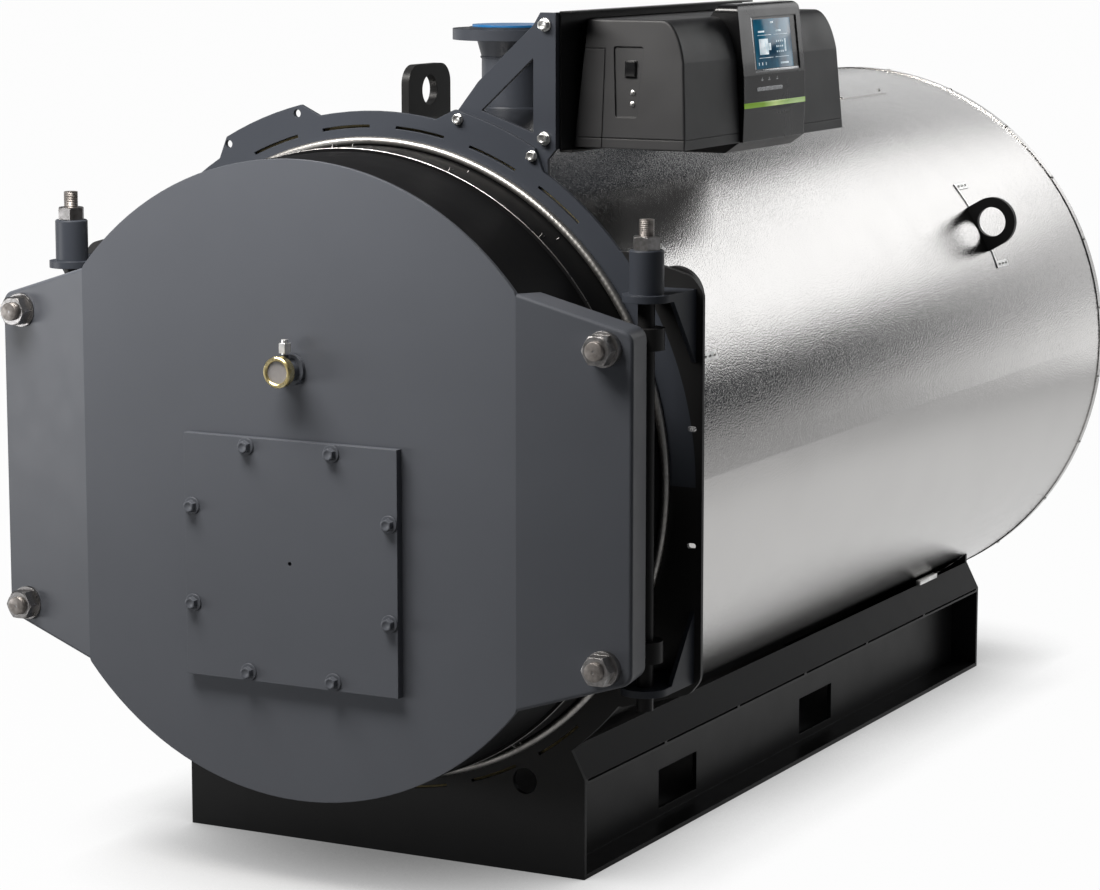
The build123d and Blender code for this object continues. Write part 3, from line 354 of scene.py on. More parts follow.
def fibrous(name, colour, shade, scale, relief):
    """Wool or cast lining: coarse fibres or grains over a broad mottle."""
    finish, tree, shader = start_finish(name, Roughness=0.92, Specular_IOR_Level=0.2)
    grainy = use_group(tree, FINE_GRAIN, Scale=scale, Mottle_Scale=14.0)
    tone = blend_colours(tree, remap(tree, grainy["Mottle"], 0.3, 0.7, 0.0, 1.0), colour, shade)
    tree.links.new(tone, shader.inputs["Base Color"])
    add_relief(tree, shader, grainy["Height"], 0.6, relief)
    return finish


def sight_glass():
    """Dull grey pane with fine wipe marks."""
    finish, tree, shader = start_finish("sight_glass", IOR=1.5, Transmission_Weight=0.12)
    marks = use_group(tree, FINE_GRAIN, Scale=300.0, Mottle_Scale=120.0)
    tone = blend_colours(tree, marks["Mottle"], (0.2, 0.19, 0.19, 1.0), (0.3, 0.285, 0.28, 1.0))
    tree.links.new(tone, shader.inputs["Base Color"])
    tree.links.new(remap(tree, marks["Mottle"], 0.3, 0.7, 0.3, 0.45), shader.inputs["Roughness"])
    return finish


def lit(name, dim, bright, scale, strength, roughness=0.12):
    """Lit display area whose colour drifts from dim to bright."""
    finish, tree, shader = start_finish(name, IOR=1.5, Roughness=roughness, Emission_Strength=strength)
    drift = place(tree, "TexNoise", {"Vector": surface_place(tree), "Scale": scale, "Detail": 2.0})
    tone = blend_colours(tree, remap(tree, drift.outputs["Fac"], 0.35, 0.65, 0.0, 1.0), dim, bright)
    tree.links.new(tone, shader.inputs["Base Color"])
    tree.links.new(tone, shader.inputs["Emission Color"])
    return finish


def light_bar(dim, bright, middle_y, half_width):
    """Lit bar that is brightest in the middle."""
    finish, tree, shader = start_finish("light_bar", IOR=1.5, Roughness=0.2, Emission_Strength=0.5)
    from_middle = number(tree, "ABSOLUTE", number(tree, "SUBTRACT", surface_axes(tree)["Y"], middle_y))
    glow = remap(tree, from_middle, 0.0, half_width, 1.0, 0.0)
    tone = blend_colours(tree, glow, dim, bright)
    tree.links.new(tone, shader.inputs["Base Color"])
    tree.links.new(tone, shader.inputs["Emission Color"])
    return finish


FINISHES = {
    "grey_paint": painted("grey_paint", GREY, GREY_RUBBED, 0.42, GREY_SHINE),
    "black_paint": painted("black_paint", BLACK, BLACK_RUBBED, 0.36, BLACK_SHINE),
    "cladding_sheet": embossed_sheet("cladding_sheet", (0.56, 0.55, 0.54, 1.0), 0.15, 330.0, 0.3),
    "zinc_steel": plated("zinc_steel", ZINC, ZINC_DULL, 0.3),
    # The wool's colour is kept dark, as painted shade for where it shows deep in the slots and holes.
    "mineral_wool": fibrous("mineral_wool", (0.28, 0.23, 0.12, 1.0), (0.18, 0.15, 0.08, 1.0), 420.0, 0.004),
    "refractory": fibrous("refractory", (0.62, 0.57, 0.48, 1.0), (0.46, 0.42, 0.36, 1.0), 260.0, 0.002),
    "brass": plated("brass", (0.82, 0.72, 0.42, 1.0), (0.6, 0.48, 0.2, 1.0), 0.26),
    "glass": sight_glass(),
    "blue_cap": moulded("blue_cap", (0.02, 0.16, 0.4, 1.0), 0.34, 500.0, 0.05),
    "housing_plastic": moulded("housing_plastic", (0.025, 0.0252, 0.0268, 1.0), 0.46, 1500.0, 0.1),
    "gloss_black": moulded("gloss_black", (0.005, 0.005, 0.0055, 1.0), 0.24, 900.0, 0.0, coat=0.15),
}
PLATE_PAINT_AND_SHADE = front_plate_paint_and_shade()
# Darker copies of the grey and black paints, as painted shade.
SHADED_GREY_PAINT = painted("shaded_grey_paint", SHADED_GREY, GREY_RUBBED, 0.42, GREY_SHINE)
SHADED_BLACK_PAINT = painted("shaded_black_paint", SHADED_BLACK, BLACK_RUBBED, 0.5, 0.08)
SEAL_BRAID = plated("seal_braid", (0.5, 0.49, 0.47, 1.0), (0.36, 0.35, 0.34, 1.0), 0.4)
BRIGHT_ZINC = plated("bright_zinc", (0.86, 0.86, 0.84, 1.0), (0.66, 0.66, 0.65, 1.0), 0.3)
STUD_STEEL = plated("stud_steel", (0.3, 0.28, 0.265, 1.0), (0.17, 0.155, 0.145, 1.0), 0.5)
SCREEN_BLUE = lit("screen_blue", (0.003, 0.03, 0.06, 1.0), (0.008, 0.1, 0.17, 1.0), 22.0, 0.8)
SCREEN_WHITE = lit("screen_white", (0.42, 0.54, 0.6, 1.0), (0.78, 0.86, 0.9, 1.0), 60.0, 0.7)
SILVER_TRIM = plated("silver_trim", (0.55, 0.56, 0.57, 1.0), (0.42, 0.43, 0.44, 1.0), 0.22)
LIGHT_BAR = light_bar(
    (0.24, 0.42, 0.05, 1.0),
    (0.62, 0.78, 0.3, 1.0),
    FRONT_PLATE_Y + middle("display_unit").y * MM,
    0.05,
)


def finish_node(node, finish):
    """Gives a CAD node its finish."""
    frame["nodes"][node].material_slots[0].material = finish


for subpart in frame["record"]["subparts"]:
    finish_node(subpart["node"], FINISHES[subpart["material_slot"]])
# The front plate's paint holds painted shade on the lower half of its ring.
finish_node("front_plate", PLATE_PAINT_AND_SHADE)
# Parts behind the door get the darker grey copy, as painted shade.
for node in ("control_bracket", "supply_nozzle", "return_nozzle"):
    finish_node(node, SHADED_GREY_PAINT)
for end in ("upper", "lower"):
    for side in ("right", "left"):
        finish_node("hinge_bracket_" + end + "_" + side, SHADED_GREY_PAINT)
# The vessel collar and door rim get the darker black, as painted shade.
for node in ("vessel", "door_rim"):
    finish_node(node, SHADED_BLACK_PAINT)

# The hinge rods are black below their nuts, the eye bolts behind the wings, and the sight glass has
# a bare fitting.
ROD_BARE_Z = plan_box("hinge_bracket_upper_right")[1].z * MM
EYE_BARE_DEPTH = 248.0
EYE_BARE_Y = FRONT_PLATE_Y - EYE_BARE_DEPTH * MM
FITTING_RISE = 0.027
FITTING_BARE_Z = middle("sight_ring").z * MM + FITTING_RISE
FITTING_BRIGHT = (0.8, 0.8, 0.79, 1.0)
FITTING_DULL = (0.6, 0.6, 0.6, 1.0)
ROD_PLATING = part_plated("rod_plating", BLACK, "Z", "GREATER_THAN", ROD_BARE_Z, ZINC, ZINC_DULL)
EYE_PLATING = part_plated("eye_plating", BLACK, "Y", "LESS_THAN", EYE_BARE_Y, ZINC, ZINC_DULL)
for side in ("right", "left"):
    finish_node("hinge_rod_" + side, ROD_PLATING)
    for end in ("upper", "lower"):
        finish_node("eye_bolt_" + end + "_" + side, EYE_PLATING)
finish_node(
    "sight_tube",
    part_plated(
        "fitting_plating", GREY, "Z", "GREATER_THAN", FITTING_BARE_Z, FITTING_BRIGHT, FITTING_DULL
    ),
)


# Mesh building

TO_SCENE = Matrix.Translation((0, FRONT_PLATE_Y, 0)) @ Matrix.Scale(MM, 4)
SMOOTH_BELOW = radians(38.0)


def make_piece(name, mesh, finish, body):
    """Turns plan geometry into a piece of the scene that rides on a body."""
    mesh.transform(TO_SCENE)
    bmesh.ops.recalc_face_normals(mesh, faces=mesh.faces)
    data = bpy.data.meshes.new(name)
    mesh.to_mesh(data)
    mesh.free()
    data.shade_smooth()
    data.set_sharp_from_angle(angle=SMOOTH_BELOW)
    data.materials.append(finish)
    piece = bpy.data.objects.new(name, data)
    bpy.context.scene.collection.objects.link(piece)
    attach(piece, body)
    return piece


def stand(spot, toward):
    """Matrix at a plan spot whose local z points along toward."""
    return Matrix.Translation(spot) @ Vector(toward).to_track_quat("Z", "Y").to_matrix().to_4x4()


def axes(origin, across, up):
    """Matrix with its local x along across, its local y along up and its local z outwards."""
    across, up = Vector(across).normalized(), Vector(up).normalized()
    return Matrix.Translation(origin) @ Matrix((across, up, across.cross(up))).transposed().to_4x4()


def join_loops(mesh, low, high):
    """Faces between two rings of vertices; a ring of one vertex is a tip."""
    count = max(len(low), len(high))
    for i in range(count):
        j = (i + 1) % count
        corners = (low[i % len(low)], low[j % len(low)], high[j % len(high)], high[i % len(high)])
        mesh.faces.new(list(dict.fromkeys(corners)))


def join_row(mesh, loops):
    """Faces along a row of rings."""
    for low, high in zip(loops, loops[1:]):
        join_loops(mesh, low, high)


def full_turn(steps):
    """Angles once around."""
    return [2 * pi * i / steps for i in range(steps)]


def ring(mesh, radius, height, where, steps):
    """Ring of vertices about the local z axis; a radius of 0 gives one vertex."""
    spots = [(0, 0, height)]
    if radius:
        spots = [(radius * cos(a), radius * sin(a), height) for a in full_turn(steps)]
    return [mesh.verts.new(where @ Vector(spot)) for spot in spots]


def turn(mesh, profile, where, steps=32):
    """Turned piece: the profile is (radius, height) pairs along the local z axis."""
    join_row(mesh, [ring(mesh, radius, height, where, steps) for radius, height in profile])


def hexagon(mesh, flat, height, where, dish=0.0, steps=48, base=0.0):
    """Hexagonal head or nut whose corners are turned off to a circle; dish is the radius of a flat
    centre that lies a little lower."""
    circle = 0.48 * flat
    angles = full_turn(steps)
    reach = [flat / 2 / cos((a + pi / 6) % (pi / 3) - pi / 6) for a in angles]
    slope = tan(radians(30))

    def corners(heights):
        spots = zip(reach, angles, heights)
        return [mesh.verts.new(where @ Vector((r * cos(a), r * sin(a), h))) for r, a, h in spots]

    tip = base + height
    loops = [
        corners([base] * steps),
        corners([tip - (r - circle) * slope for r in reach]),
        ring(mesh, circle, tip, where, steps),
    ]
    if dish:
        loops.append(ring(mesh, dish, tip, where, steps))
        tip -= 0.6
        loops.append(ring(mesh, dish - 0.8, tip, where, steps))
    loops.insert(0, ring(mesh, 0, base, where, steps))
    loops.append(ring(mesh, 0, tip, where, steps))
    join_row(mesh, loops)


def thread(mesh, radius, pitch, length, where, base=0.0, steps=32, rows=6):
    """Threaded end: a helical groove that runs out in a chamfer with a centre mark."""
    depth = 0.3 * pitch
    loops = []
    count = int(length / pitch * rows)
    for row in range(count + 1):
        height = base + length * row / count
        loop = []
        for i, angle in enumerate(full_turn(steps)):
            phase = (height / pitch - i / steps) % 1.0
            r = radius - depth * abs(2 * phase - 1)
            loop.append(mesh.verts.new(where @ Vector((r * cos(angle), r * sin(angle), height))))
        loops.append(loop)
    top = base + length
    for r, height in ((0.88 * radius, top + 0.5), (0.14 * radius, top + 0.5), (0.0, top - 0.7 * radius)):
        loops.append(ring(mesh, r, height, where, steps))
    join_row(mesh, loops)


def hex_bolt(mesh, spot, toward, flat=18.0, head=11.0, washer=15.0):
    """Bolt head on a washer."""
    where = stand(spot, toward)
    turn(mesh, ((0, 0), (washer, 0), (washer, 2.0), (washer - 0.7, 2.6), (0, 2.6)), where)
    hexagon(mesh, flat, head, where, dish=0.34 * flat, base=2.6)


def screw_head(mesh, spot, toward, radius=5.0):
    """Low round head."""
    where = stand(spot, toward)
    profile = ((0, 0), (radius, 0), (radius, 0.8), (0.8 * radius, 2.0), (0.4 * radius, 2.6), (0, 2.7))
    turn(mesh, profile, where, steps=20)


def slab(mesh, low, high, soften=0.8, where=Matrix()):
    """Block between two corners with softened edges."""
    low, high = Vector(low), Vector(high)
    size = high - low
    made = bmesh.ops.create_cube(mesh, size=1.0)["verts"]
    bmesh.ops.scale(mesh, vec=size, verts=made)
    bmesh.ops.translate(mesh, vec=(low + high) / 2, verts=made)
    edges = list({edge for vert in made for edge in vert.link_edges})
    if soften:
        offset = min(soften, 0.45 * min(size))
        result = bmesh.ops.bevel(mesh, geom=edges, offset=offset, segments=2, profile=0.5, affect="EDGES")
        rounded = {vert for face in result["faces"] for vert in face.verts}
        made = list(rounded | {vert for vert in made if vert.is_valid})
    bmesh.ops.transform(mesh, matrix=where, verts=made)


def prism(mesh, outline, low, high, where):
    """Outline in the local xy plane, raised from low to high."""
    rings = [[mesh.verts.new(where @ Vector((x, y, z))) for x, y in outline] for z in (low, high)]
    join_loops(mesh, *rings)
    for ring in rings:
        mesh.faces.new(ring)


def around(radius, degrees, depth):
    """Plan spot on a circle about the boiler axis."""
    angle = radians(degrees)
    return Vector((radius * cos(angle), depth, AXIS_Z + radius * sin(angle)))


def shell_patch(mesh, r_low, r_high, from_angle, to_angle, from_depth, to_depth, steps=10):
    """Curved strip that lies on the cladding."""
    loops = []
    for i in range(steps + 1):
        angle = from_angle + (to_angle - from_angle) * i / steps
        corners = ((r_low, from_depth), (r_high, from_depth), (r_high, to_depth), (r_low, to_depth))
        loops.append([mesh.verts.new(around(r, angle, depth)) for r, depth in corners])
    join_row(mesh, loops)
    mesh.faces.new(loops[0])
    mesh.faces.new(loops[-1])


def weld_bead(mesh, path, radius, closed=False, sides=8, ripple=0.16):
    """Rippled bead along a path of plan spots."""
    loops = []
    count = len(path)
    for i, spot in enumerate(path):
        before = path[i - 1] if i or closed else spot
        after = path[(i + 1) % count] if i + 1 < count or closed else spot
        turned = (after - before).to_track_quat("Z", "Y").to_matrix()
        r = radius * (1 + ripple * (1 if i % 2 else -1))
        spokes = [Vector((r * cos(a), r * sin(a), 0)) for a in full_turn(sides)]
        loops.append([mesh.verts.new(spot + turned @ spoke) for spoke in spokes])
    join_row(mesh, loops)
    if closed:
        join_loops(mesh, loops[-1], loops[0])
    else:
        mesh.faces.new(loops[0])
        mesh.faces.new(loops[-1])


# Door

FRONTWARDS = (0, -1, 0)
COVER_FACE = plan_box("burner_cover")[0].y
COVER_Z = middle("burner_cover").z
COVER_BOLT_NEAR = 83.0
COVER_BOLT_FAR = 192.0


def cover_bolts():
    """Eight bolts that hold the burner cover."""
    mesh = bmesh.new()
    for across in (-1, 1):
        for up in (-1, 1):
            for x, z in ((COVER_BOLT_NEAR, COVER_BOLT_FAR), (COVER_BOLT_FAR, COVER_BOLT_NEAR)):
                hex_bolt(mesh, (across * x, COVER_FACE, COVER_Z + up * z), FRONTWARDS)
    make_piece("cover_bolts", mesh, FINISHES["grey_paint"], "door")


STUD_NODES = (
    "eye_bolt_upper_right",
    "eye_bolt_lower_right",
    "door_nut_upper_left",
    "door_nut_lower_left",
)
STUD_R = 15.0
STUD_SHOW = 7.0
STUD_PITCH = 3.5


def stud_ends():
    """Threaded ends of the four door studs, with a centre mark."""
    mesh = bmesh.new()
    for node in STUD_NODES:
        spot = (middle(node).x, plan_box(node)[0].y + STUD_SHOW, middle(node).z)
        thread(mesh, STUD_R + 0.9, STUD_PITCH, STUD_SHOW, stand(spot, FRONTWARDS), steps=40)
    make_piece("stud_ends", mesh, STUD_STEEL, "door")


cover_bolts()
stud_ends()


# Hinges

THREAD_R = 11.5
THREAD_PITCH = 3.0
ROD_NUT_TOP = 22.0
THREAD_SHOW = 49.0


def rod_threads():
    """Threaded top ends of the hinge rods."""
    mesh = bmesh.new()
    rod_top = plan_box("hinge_rod_right")[1].z
    nut_top = rod_top - THREAD_SHOW + ROD_NUT_TOP
    for hand in (1, -1):
        where = stand((hand * ROD_X, ROD_DEPTH, nut_top), (0, 0, 1))
        thread(mesh, THREAD_R + 1.0, THREAD_PITCH, rod_top - nut_top, where)
    make_piece("rod_threads", mesh, STUD_STEEL, "boiler")


rod_threads()


# Front plate and bracket

TAB_BOLTS = ((159.2, 1291.0), (300.0, 1233.8))
BRACKET_BOLTS = ((320.0, 1451.0), (319.0, 1262.8))
RING_SLOT_R = 577.0
RING_SLOT_WIDTH = 5.0
RING_SLOT_FIRST = 52.6
RING_SLOT_PITCH = 14.5
RING_SLOT_SPAN = 9.4
RING_SLOT_COUNT = 6


def arc_slot(mesh, centre_angle, steps=12):
    """Cutter for one arc slot through the front plate."""
    rings = []
    for depth in (-PLATE_THICK, 2 * PLATE_THICK):
        spots = []
        for way in (1, -1):
            radius = RING_SLOT_R - way * RING_SLOT_WIDTH / 2
            turns = [centre_angle + way * RING_SLOT_SPAN * (i / steps - 0.5) for i in range(steps + 1)]
            spots += [around(radius, angle, depth) for angle in turns]
        rings.append([mesh.verts.new(spot) for spot in spots])
    join_loops(mesh, *rings)
    for ring in rings:
        mesh.faces.new(ring)


def slotted_plate():
    """Front plate with the arc slots of its ring, above and below the axis."""
    cutter = bmesh.new()
    for i in range(RING_SLOT_COUNT):
        for hand in (1, -1):
            arc_slot(cutter, hand * (RING_SLOT_FIRST + RING_SLOT_PITCH * i))
    bmesh.ops.recalc_face_normals(cutter, faces=cutter.faces)
    whole = frame["nodes"]["front_plate"].data.copy()
    whole.attributes.remove(whole.attributes["custom_normal"])
    plate = bmesh.new()
    plate.from_mesh(whole)
    bpy.data.meshes.remove(whole)
    bmesh.ops.remove_doubles(plate, verts=plate.verts, dist=1e-6)
    plate.transform(TO_SCENE.inverted())
    blanks = []
    for name, mesh in (("plate_blank", plate), ("slot_cutter", cutter)):
        data = bpy.data.meshes.new(name)
        mesh.to_mesh(data)
        mesh.free()
        blanks.append(bpy.data.objects.new(name, data))
        bpy.context.scene.collection.objects.link(blanks[-1])
    cut = blanks[0].modifiers.new("slots", "BOOLEAN")
    cut.operation = "DIFFERENCE"
    cut.solver = "EXACT"
    cut.object = blanks[1]
    cut_plate = blanks[0].evaluated_get(bpy.context.evaluated_depsgraph_get())
    mesh = bmesh.new()
    mesh.from_mesh(cut_plate.to_mesh())
    for blank in blanks:
        data = blank.data
        bpy.data.objects.remove(blank)
        bpy.data.meshes.remove(data)
    slotted = make_piece("slotted_plate", mesh, PLATE_PAINT_AND_SHADE, "boiler")
    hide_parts("front_plate")


def bracket_bolts():
    """Bright bolts of the control bracket."""
    mesh = bmesh.new()
    for x, z in TAB_BOLTS:
        hex_bolt(mesh, (x, 0, z), FRONTWARDS, flat=15.0, head=6.0, washer=9.5)
    for x, z in BRACKET_BOLTS:
        hex_bolt(mesh, (x, PLATE_THICK, z), FRONTWARDS, flat=16.0, head=9.0, washer=11.5)
    make_piece("bracket_bolts", mesh, BRIGHT_ZINC, "boiler")


slotted_plate()
bracket_bolts()


# Shell

ROPE_R = 7.5
ROPE_DEPTH = -6.0
ROPE_STEPS = 1440
ROPE_SIDES = 12
ROPE_STRANDS = 360
ROPE_RELIEF = 0.5


def seal_rope():
    """Braided rope in the gap between the vessel and the front plate."""
    mesh = bmesh.new()
    loops = []
    for i in range(ROPE_STEPS):
        turned = 2 * pi * i / ROPE_STEPS
        loop = []
        for k in range(ROPE_SIDES):
            angle = 2 * pi * k / ROPE_SIDES
            lay = ROPE_STRANDS * turned
            braid = max(cos(lay + 2 * angle), cos(lay - 2 * angle))
            r = ROPE_R + ROPE_RELIEF * (braid - 1) / 2
            reach = VESSEL_R + ROPE_R + r * cos(angle)
            spot = (reach * cos(turned), ROPE_DEPTH + r * sin(angle), AXIS_Z + reach * sin(turned))
            loop.append(mesh.verts.new(spot))
        loops.append(loop)
    for low, high in zip(loops, loops[1:] + loops[:1]):
        join_loops(mesh, low, high)
    rope = make_piece("seal_rope", mesh, SEAL_BRAID, "boiler")
    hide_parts("seal_ring")


PIN_FIRST = 70.0
PIN_PITCH = 21.0
PIN_COUNT = 17
PIN_R = 0.9
COLLAR_FRONT = plan_box("vessel")[0].y


def collar_glint_and_pins():
    """Bright zinc bead on the collar's front edge as painted highlight, and the wire pins that hold the
    rope.
    """
    mesh = bmesh.new()
    # The bright bead stands for the highlight along the black collar edge: painted highlight.
    edge = [around(VESSEL_R, 2.0 * i, COLLAR_FRONT + 1.0) for i in range(180)]
    weld_bead(mesh, edge, 1.0, closed=True, sides=6, ripple=0.0)
    for i in range(PIN_COUNT):
        angle = PIN_FIRST - PIN_PITCH * i
        for path in (
            (
                around(VESSEL_R, angle, -84.0),
                around(VESSEL_R + 4, angle, -82.0),
                around(VESSEL_R + 7, angle + 0.2, -79.0),
            ),
            (around(VESSEL_R, angle - 0.2, -72.0), around(VESSEL_R + 4, angle - 0.3, -74.0)),
            (around(VESSEL_R, angle - 1.2, -38.0), around(VESSEL_R + 4, angle - 1.3, -36.0)),
        ):
            weld_bead(mesh, path, PIN_R, sides=6, ripple=0.0)
    make_piece("collar_glint_and_pins", mesh, FINISHES["zinc_steel"], "boiler")


NOZZLE_PIPE_R = 57.15
NOZZLE_FLANGE_DROP = 55.0
WELD_STEPS = 96


def nozzle_welds():
    """Weld beads where each nozzle leaves the cladding and where its neck begins."""
    mesh = bmesh.new()
    for node in ("supply_nozzle", "return_nozzle"):
        depth, top = middle(node).y, plan_box(node)[1].z
        rim = [(NOZZLE_PIPE_R * cos(a), depth + NOZZLE_PIPE_R * sin(a)) for a in full_turn(WELD_STEPS)]
        foot = [Vector((x, y, AXIS_Z + sqrt(CLAD_R**2 - x**2))) for x, y in rim]
        neck = [Vector((x, y, top - NOZZLE_FLANGE_DROP)) for x, y in rim]
        weld_bead(mesh, foot, 4.0, closed=True)
        weld_bead(mesh, neck, 2.2, closed=True)
    make_piece("nozzle_welds", mesh, SHADED_GREY_PAINT, "boiler")


STRIP_SPAN = (21.3, 40.5)
FRONT_STRIP_SPAN = (18.9, 40.5)
STRIP_WIDTH = 7.0
STRIP_TAB = 62.0
STRIP_TAB_SPAN = 1.4
STRIP_THICK = 1.6
FRONT_STRIP_DEPTH = 133.0
TAB_SCREWS = (16.0, 34.0, 52.0)


def lashing_strips():
    """Bright edge strips beside the lashing lugs, with a riveted tab at each end."""
    mesh = bmesh.new()
    r = CLAD_R + 0.2
    rear_depth = plan_box("lashing_lug_rear_right")[1].y
    for start, (low, high) in ((FRONT_STRIP_DEPTH, FRONT_STRIP_SPAN), (rear_depth, STRIP_SPAN)):
        tabs = ((low, low + STRIP_TAB_SPAN), (high - STRIP_TAB_SPAN, high))
        for hand in (1, -1):
            for span, length in (((low, high), STRIP_WIDTH), *((tab, STRIP_TAB) for tab in tabs)):
                ends = [angle if hand == 1 else 180 - angle for angle in span]
                shell_patch(mesh, r, r + STRIP_THICK, *ends, start, start + length)
                if length == STRIP_TAB:
                    angle = sum(ends) / 2
                    outwards = (cos(radians(angle)), 0, sin(radians(angle)))
                    for step in TAB_SCREWS:
                        screw_head(mesh, around(r + STRIP_THICK, angle, start + step), outwards, radius=2.6)
    make_piece("lashing_strips", mesh, BRIGHT_ZINC, "boiler")


COVER_SCREW_ANGLES = (-18.5, 0.0, 18.5)
COVER_SCREW_INSET = 10.0


def cover_rivets():
    """Rivets along both ends of the cover sheet on top."""
    mesh = bmesh.new()
    low, high = plan_box("top_cover")
    for depth in (low.y + COVER_SCREW_INSET, high.y - COVER_SCREW_INSET):
        for lean in COVER_SCREW_ANGLES:
            outwards = (sin(radians(lean)), 0, cos(radians(lean)))
            screw_head(mesh, around(high.z - AXIS_Z, 90 - lean, depth), outwards, radius=3.5)
    make_piece("cover_rivets", mesh, BRIGHT_ZINC, "boiler")


RAIL_GAP = 14.4
# These blocks are painted light: bright strips where light shows through the gap.
GAP_LIGHT_DEPTH = (1591.0, 1687.0)
GAP_LIGHT_WIDTH = 11.0
GAP_LIGHT_HEIGHT = 10.0


def rail_gap_light():
    """Bright zinc blocks between the rails and the shell, painted light where light shows through the gap.
    """
    mesh = bmesh.new()
    for node, hand in (("base_rail_right", 1), ("base_rail_left", -1)):
        top = plan_box(node)[1].z
        edge = sqrt((CLAD_R + RAIL_GAP) ** 2 - (AXIS_Z - top) ** 2)
        low = (hand * edge - GAP_LIGHT_WIDTH / 2, GAP_LIGHT_DEPTH[0], top - 1.0)
        high = (hand * edge + GAP_LIGHT_WIDTH / 2, GAP_LIGHT_DEPTH[1], top - 1.0 + GAP_LIGHT_HEIGHT)
        slab(mesh, low, high, soften=1.0)
    make_piece("rail_gap_light", mesh, BRIGHT_ZINC, "boiler")


RIM_SCREWS = 24
COVER_SCREWS = 16


def rear_screws():
    """Screws around the rear rim and the rear cover."""
    mesh = bmesh.new()
    rim_low, rim_high = plan_box("rear_rim")
    rim_r = (rim_high.x - rim_low.x) / 2
    for i in range(RIM_SCREWS):
        angle = 360.0 * (i + 0.5) / RIM_SCREWS
        spot = around(rim_r, angle, middle("rear_rim").y)
        screw_head(mesh, spot, (cos(radians(angle)), 0, sin(radians(angle))), radius=4.0)
    cover_back = plan_box("rear_cover")[1].y
    for i in range(COVER_SCREWS):
        angle = 360.0 * (i + 0.5) / COVER_SCREWS
        screw_head(mesh, around(CLAD_R - 30.0, angle, cover_back), (0, 1, 0), radius=5.0)
    make_piece("rear_screws", mesh, BRIGHT_ZINC, "boiler")


seal_rope()
collar_glint_and_pins()
nozzle_welds()
lashing_strips()
cover_rivets()
rail_gap_light()
rear_screws()


# Control unit

UNIT_LOW, UNIT_HIGH = plan_box("control_housing")
SCREEN_LOW, SCREEN_HIGH = plan_box("display_unit")
END_TAPER = 17.0
END_FACE = axes(UNIT_LOW, (1, 0, 0), (0, END_TAPER, UNIT_HIGH.z - UNIT_LOW.z))
STRIP_FLOOR = -3.0
ROCKER_SPOT = (100.0, 132.0)
ROCKER_HALF = (9.0, 12.5)
STUD_SPOTS = ((105.0, 93.0), (105.0, 74.0))


def end_switches():
    """Rocker switch in its frame and two studs, on the strip at the end of the housing."""
    mesh = bmesh.new()
    half_x, half_y = ROCKER_HALF
    spot = Matrix.Translation((*ROCKER_SPOT, STRIP_FLOOR))
    slab(mesh, (-half_x - 2, -half_y - 2, 0), (half_x + 2, half_y + 2, 2.2), 1.0, END_FACE @ spot)
    paddle = [(-half_y, 0), (-half_y, 5.4), (0, 3.4), (half_y, 7.0), (half_y, 0)]
    up, out = END_FACE.col[1].to_3d(), END_FACE.col[2].to_3d()
    prism(mesh, paddle, -half_x, half_x, axes(END_FACE @ spot @ Vector(), up, out))
    make_piece("rocker_switch", mesh, FINISHES["gloss_black"], "boiler")
    mesh = bmesh.new()
    for x, y in STUD_SPOTS:
        dome = ((0, 0), (4.4, 0), (4.4, 1.2), (3.2, 1.6), (3.0, 3.2), (2.2, 4.2), (0, 4.6))
        turn(mesh, dome, END_FACE @ Matrix.Translation((x, y, STRIP_FLOOR)), steps=24)
    make_piece("switch_studs", mesh, BRIGHT_ZINC, "boiler")


# The front of the display leans back above a fold and stands nearly upright below it.
DISPLAY_FOLD = 57.0
DISPLAY_BEND = 112.0
FOOT_OUT = 6.0
FOLD_OUT = 8.0
BEND_OUT = 7.0
TOP_OUT = -7.0
SCREEN_WIDTH = SCREEN_HIGH.y - SCREEN_LOW.y
SCREEN_HEIGHT = SCREEN_HIGH.z - SCREEN_LOW.z


def display_face(low_out, low_rise, high_out, high_rise):
    """Frame on a front face of the display: x to the rear, y up the face, z outwards."""
    origin = (UNIT_HIGH.x + low_out, SCREEN_LOW.y, SCREEN_LOW.z + low_rise)
    return axes(origin, (0, 1, 0), (high_out - low_out, 0, high_rise - low_rise))


LOW_FACE = display_face(FOOT_OUT, 0.0, FOLD_OUT, DISPLAY_FOLD)
BAR_FACE = display_face(FOLD_OUT, DISPLAY_FOLD, BEND_OUT, DISPLAY_BEND)
GLASS_FACE = display_face(BEND_OUT, DISPLAY_BEND, TOP_OUT, SCREEN_HEIGHT)
GLASS_FLOOR = -2.0
GLASS_CORNER = (50.0, 5.0)
GLASS_SIZE = (190.0, 94.0)
PICTURE_CORNER = (61.0, 10.0)
PICTURE_SIZE = (154.0, 85.0)
TRIM_WIDTH = 4.0


def tile(mesh, x, y, width, height):
    """Flat mark on the picture of the screen."""
    corner = Vector((PICTURE_CORNER[0] + x, PICTURE_CORNER[1] + y, GLASS_FLOOR + 0.5))
    slab(mesh, corner, corner + Vector((width, height, 0.3)), 0.1, GLASS_FACE)


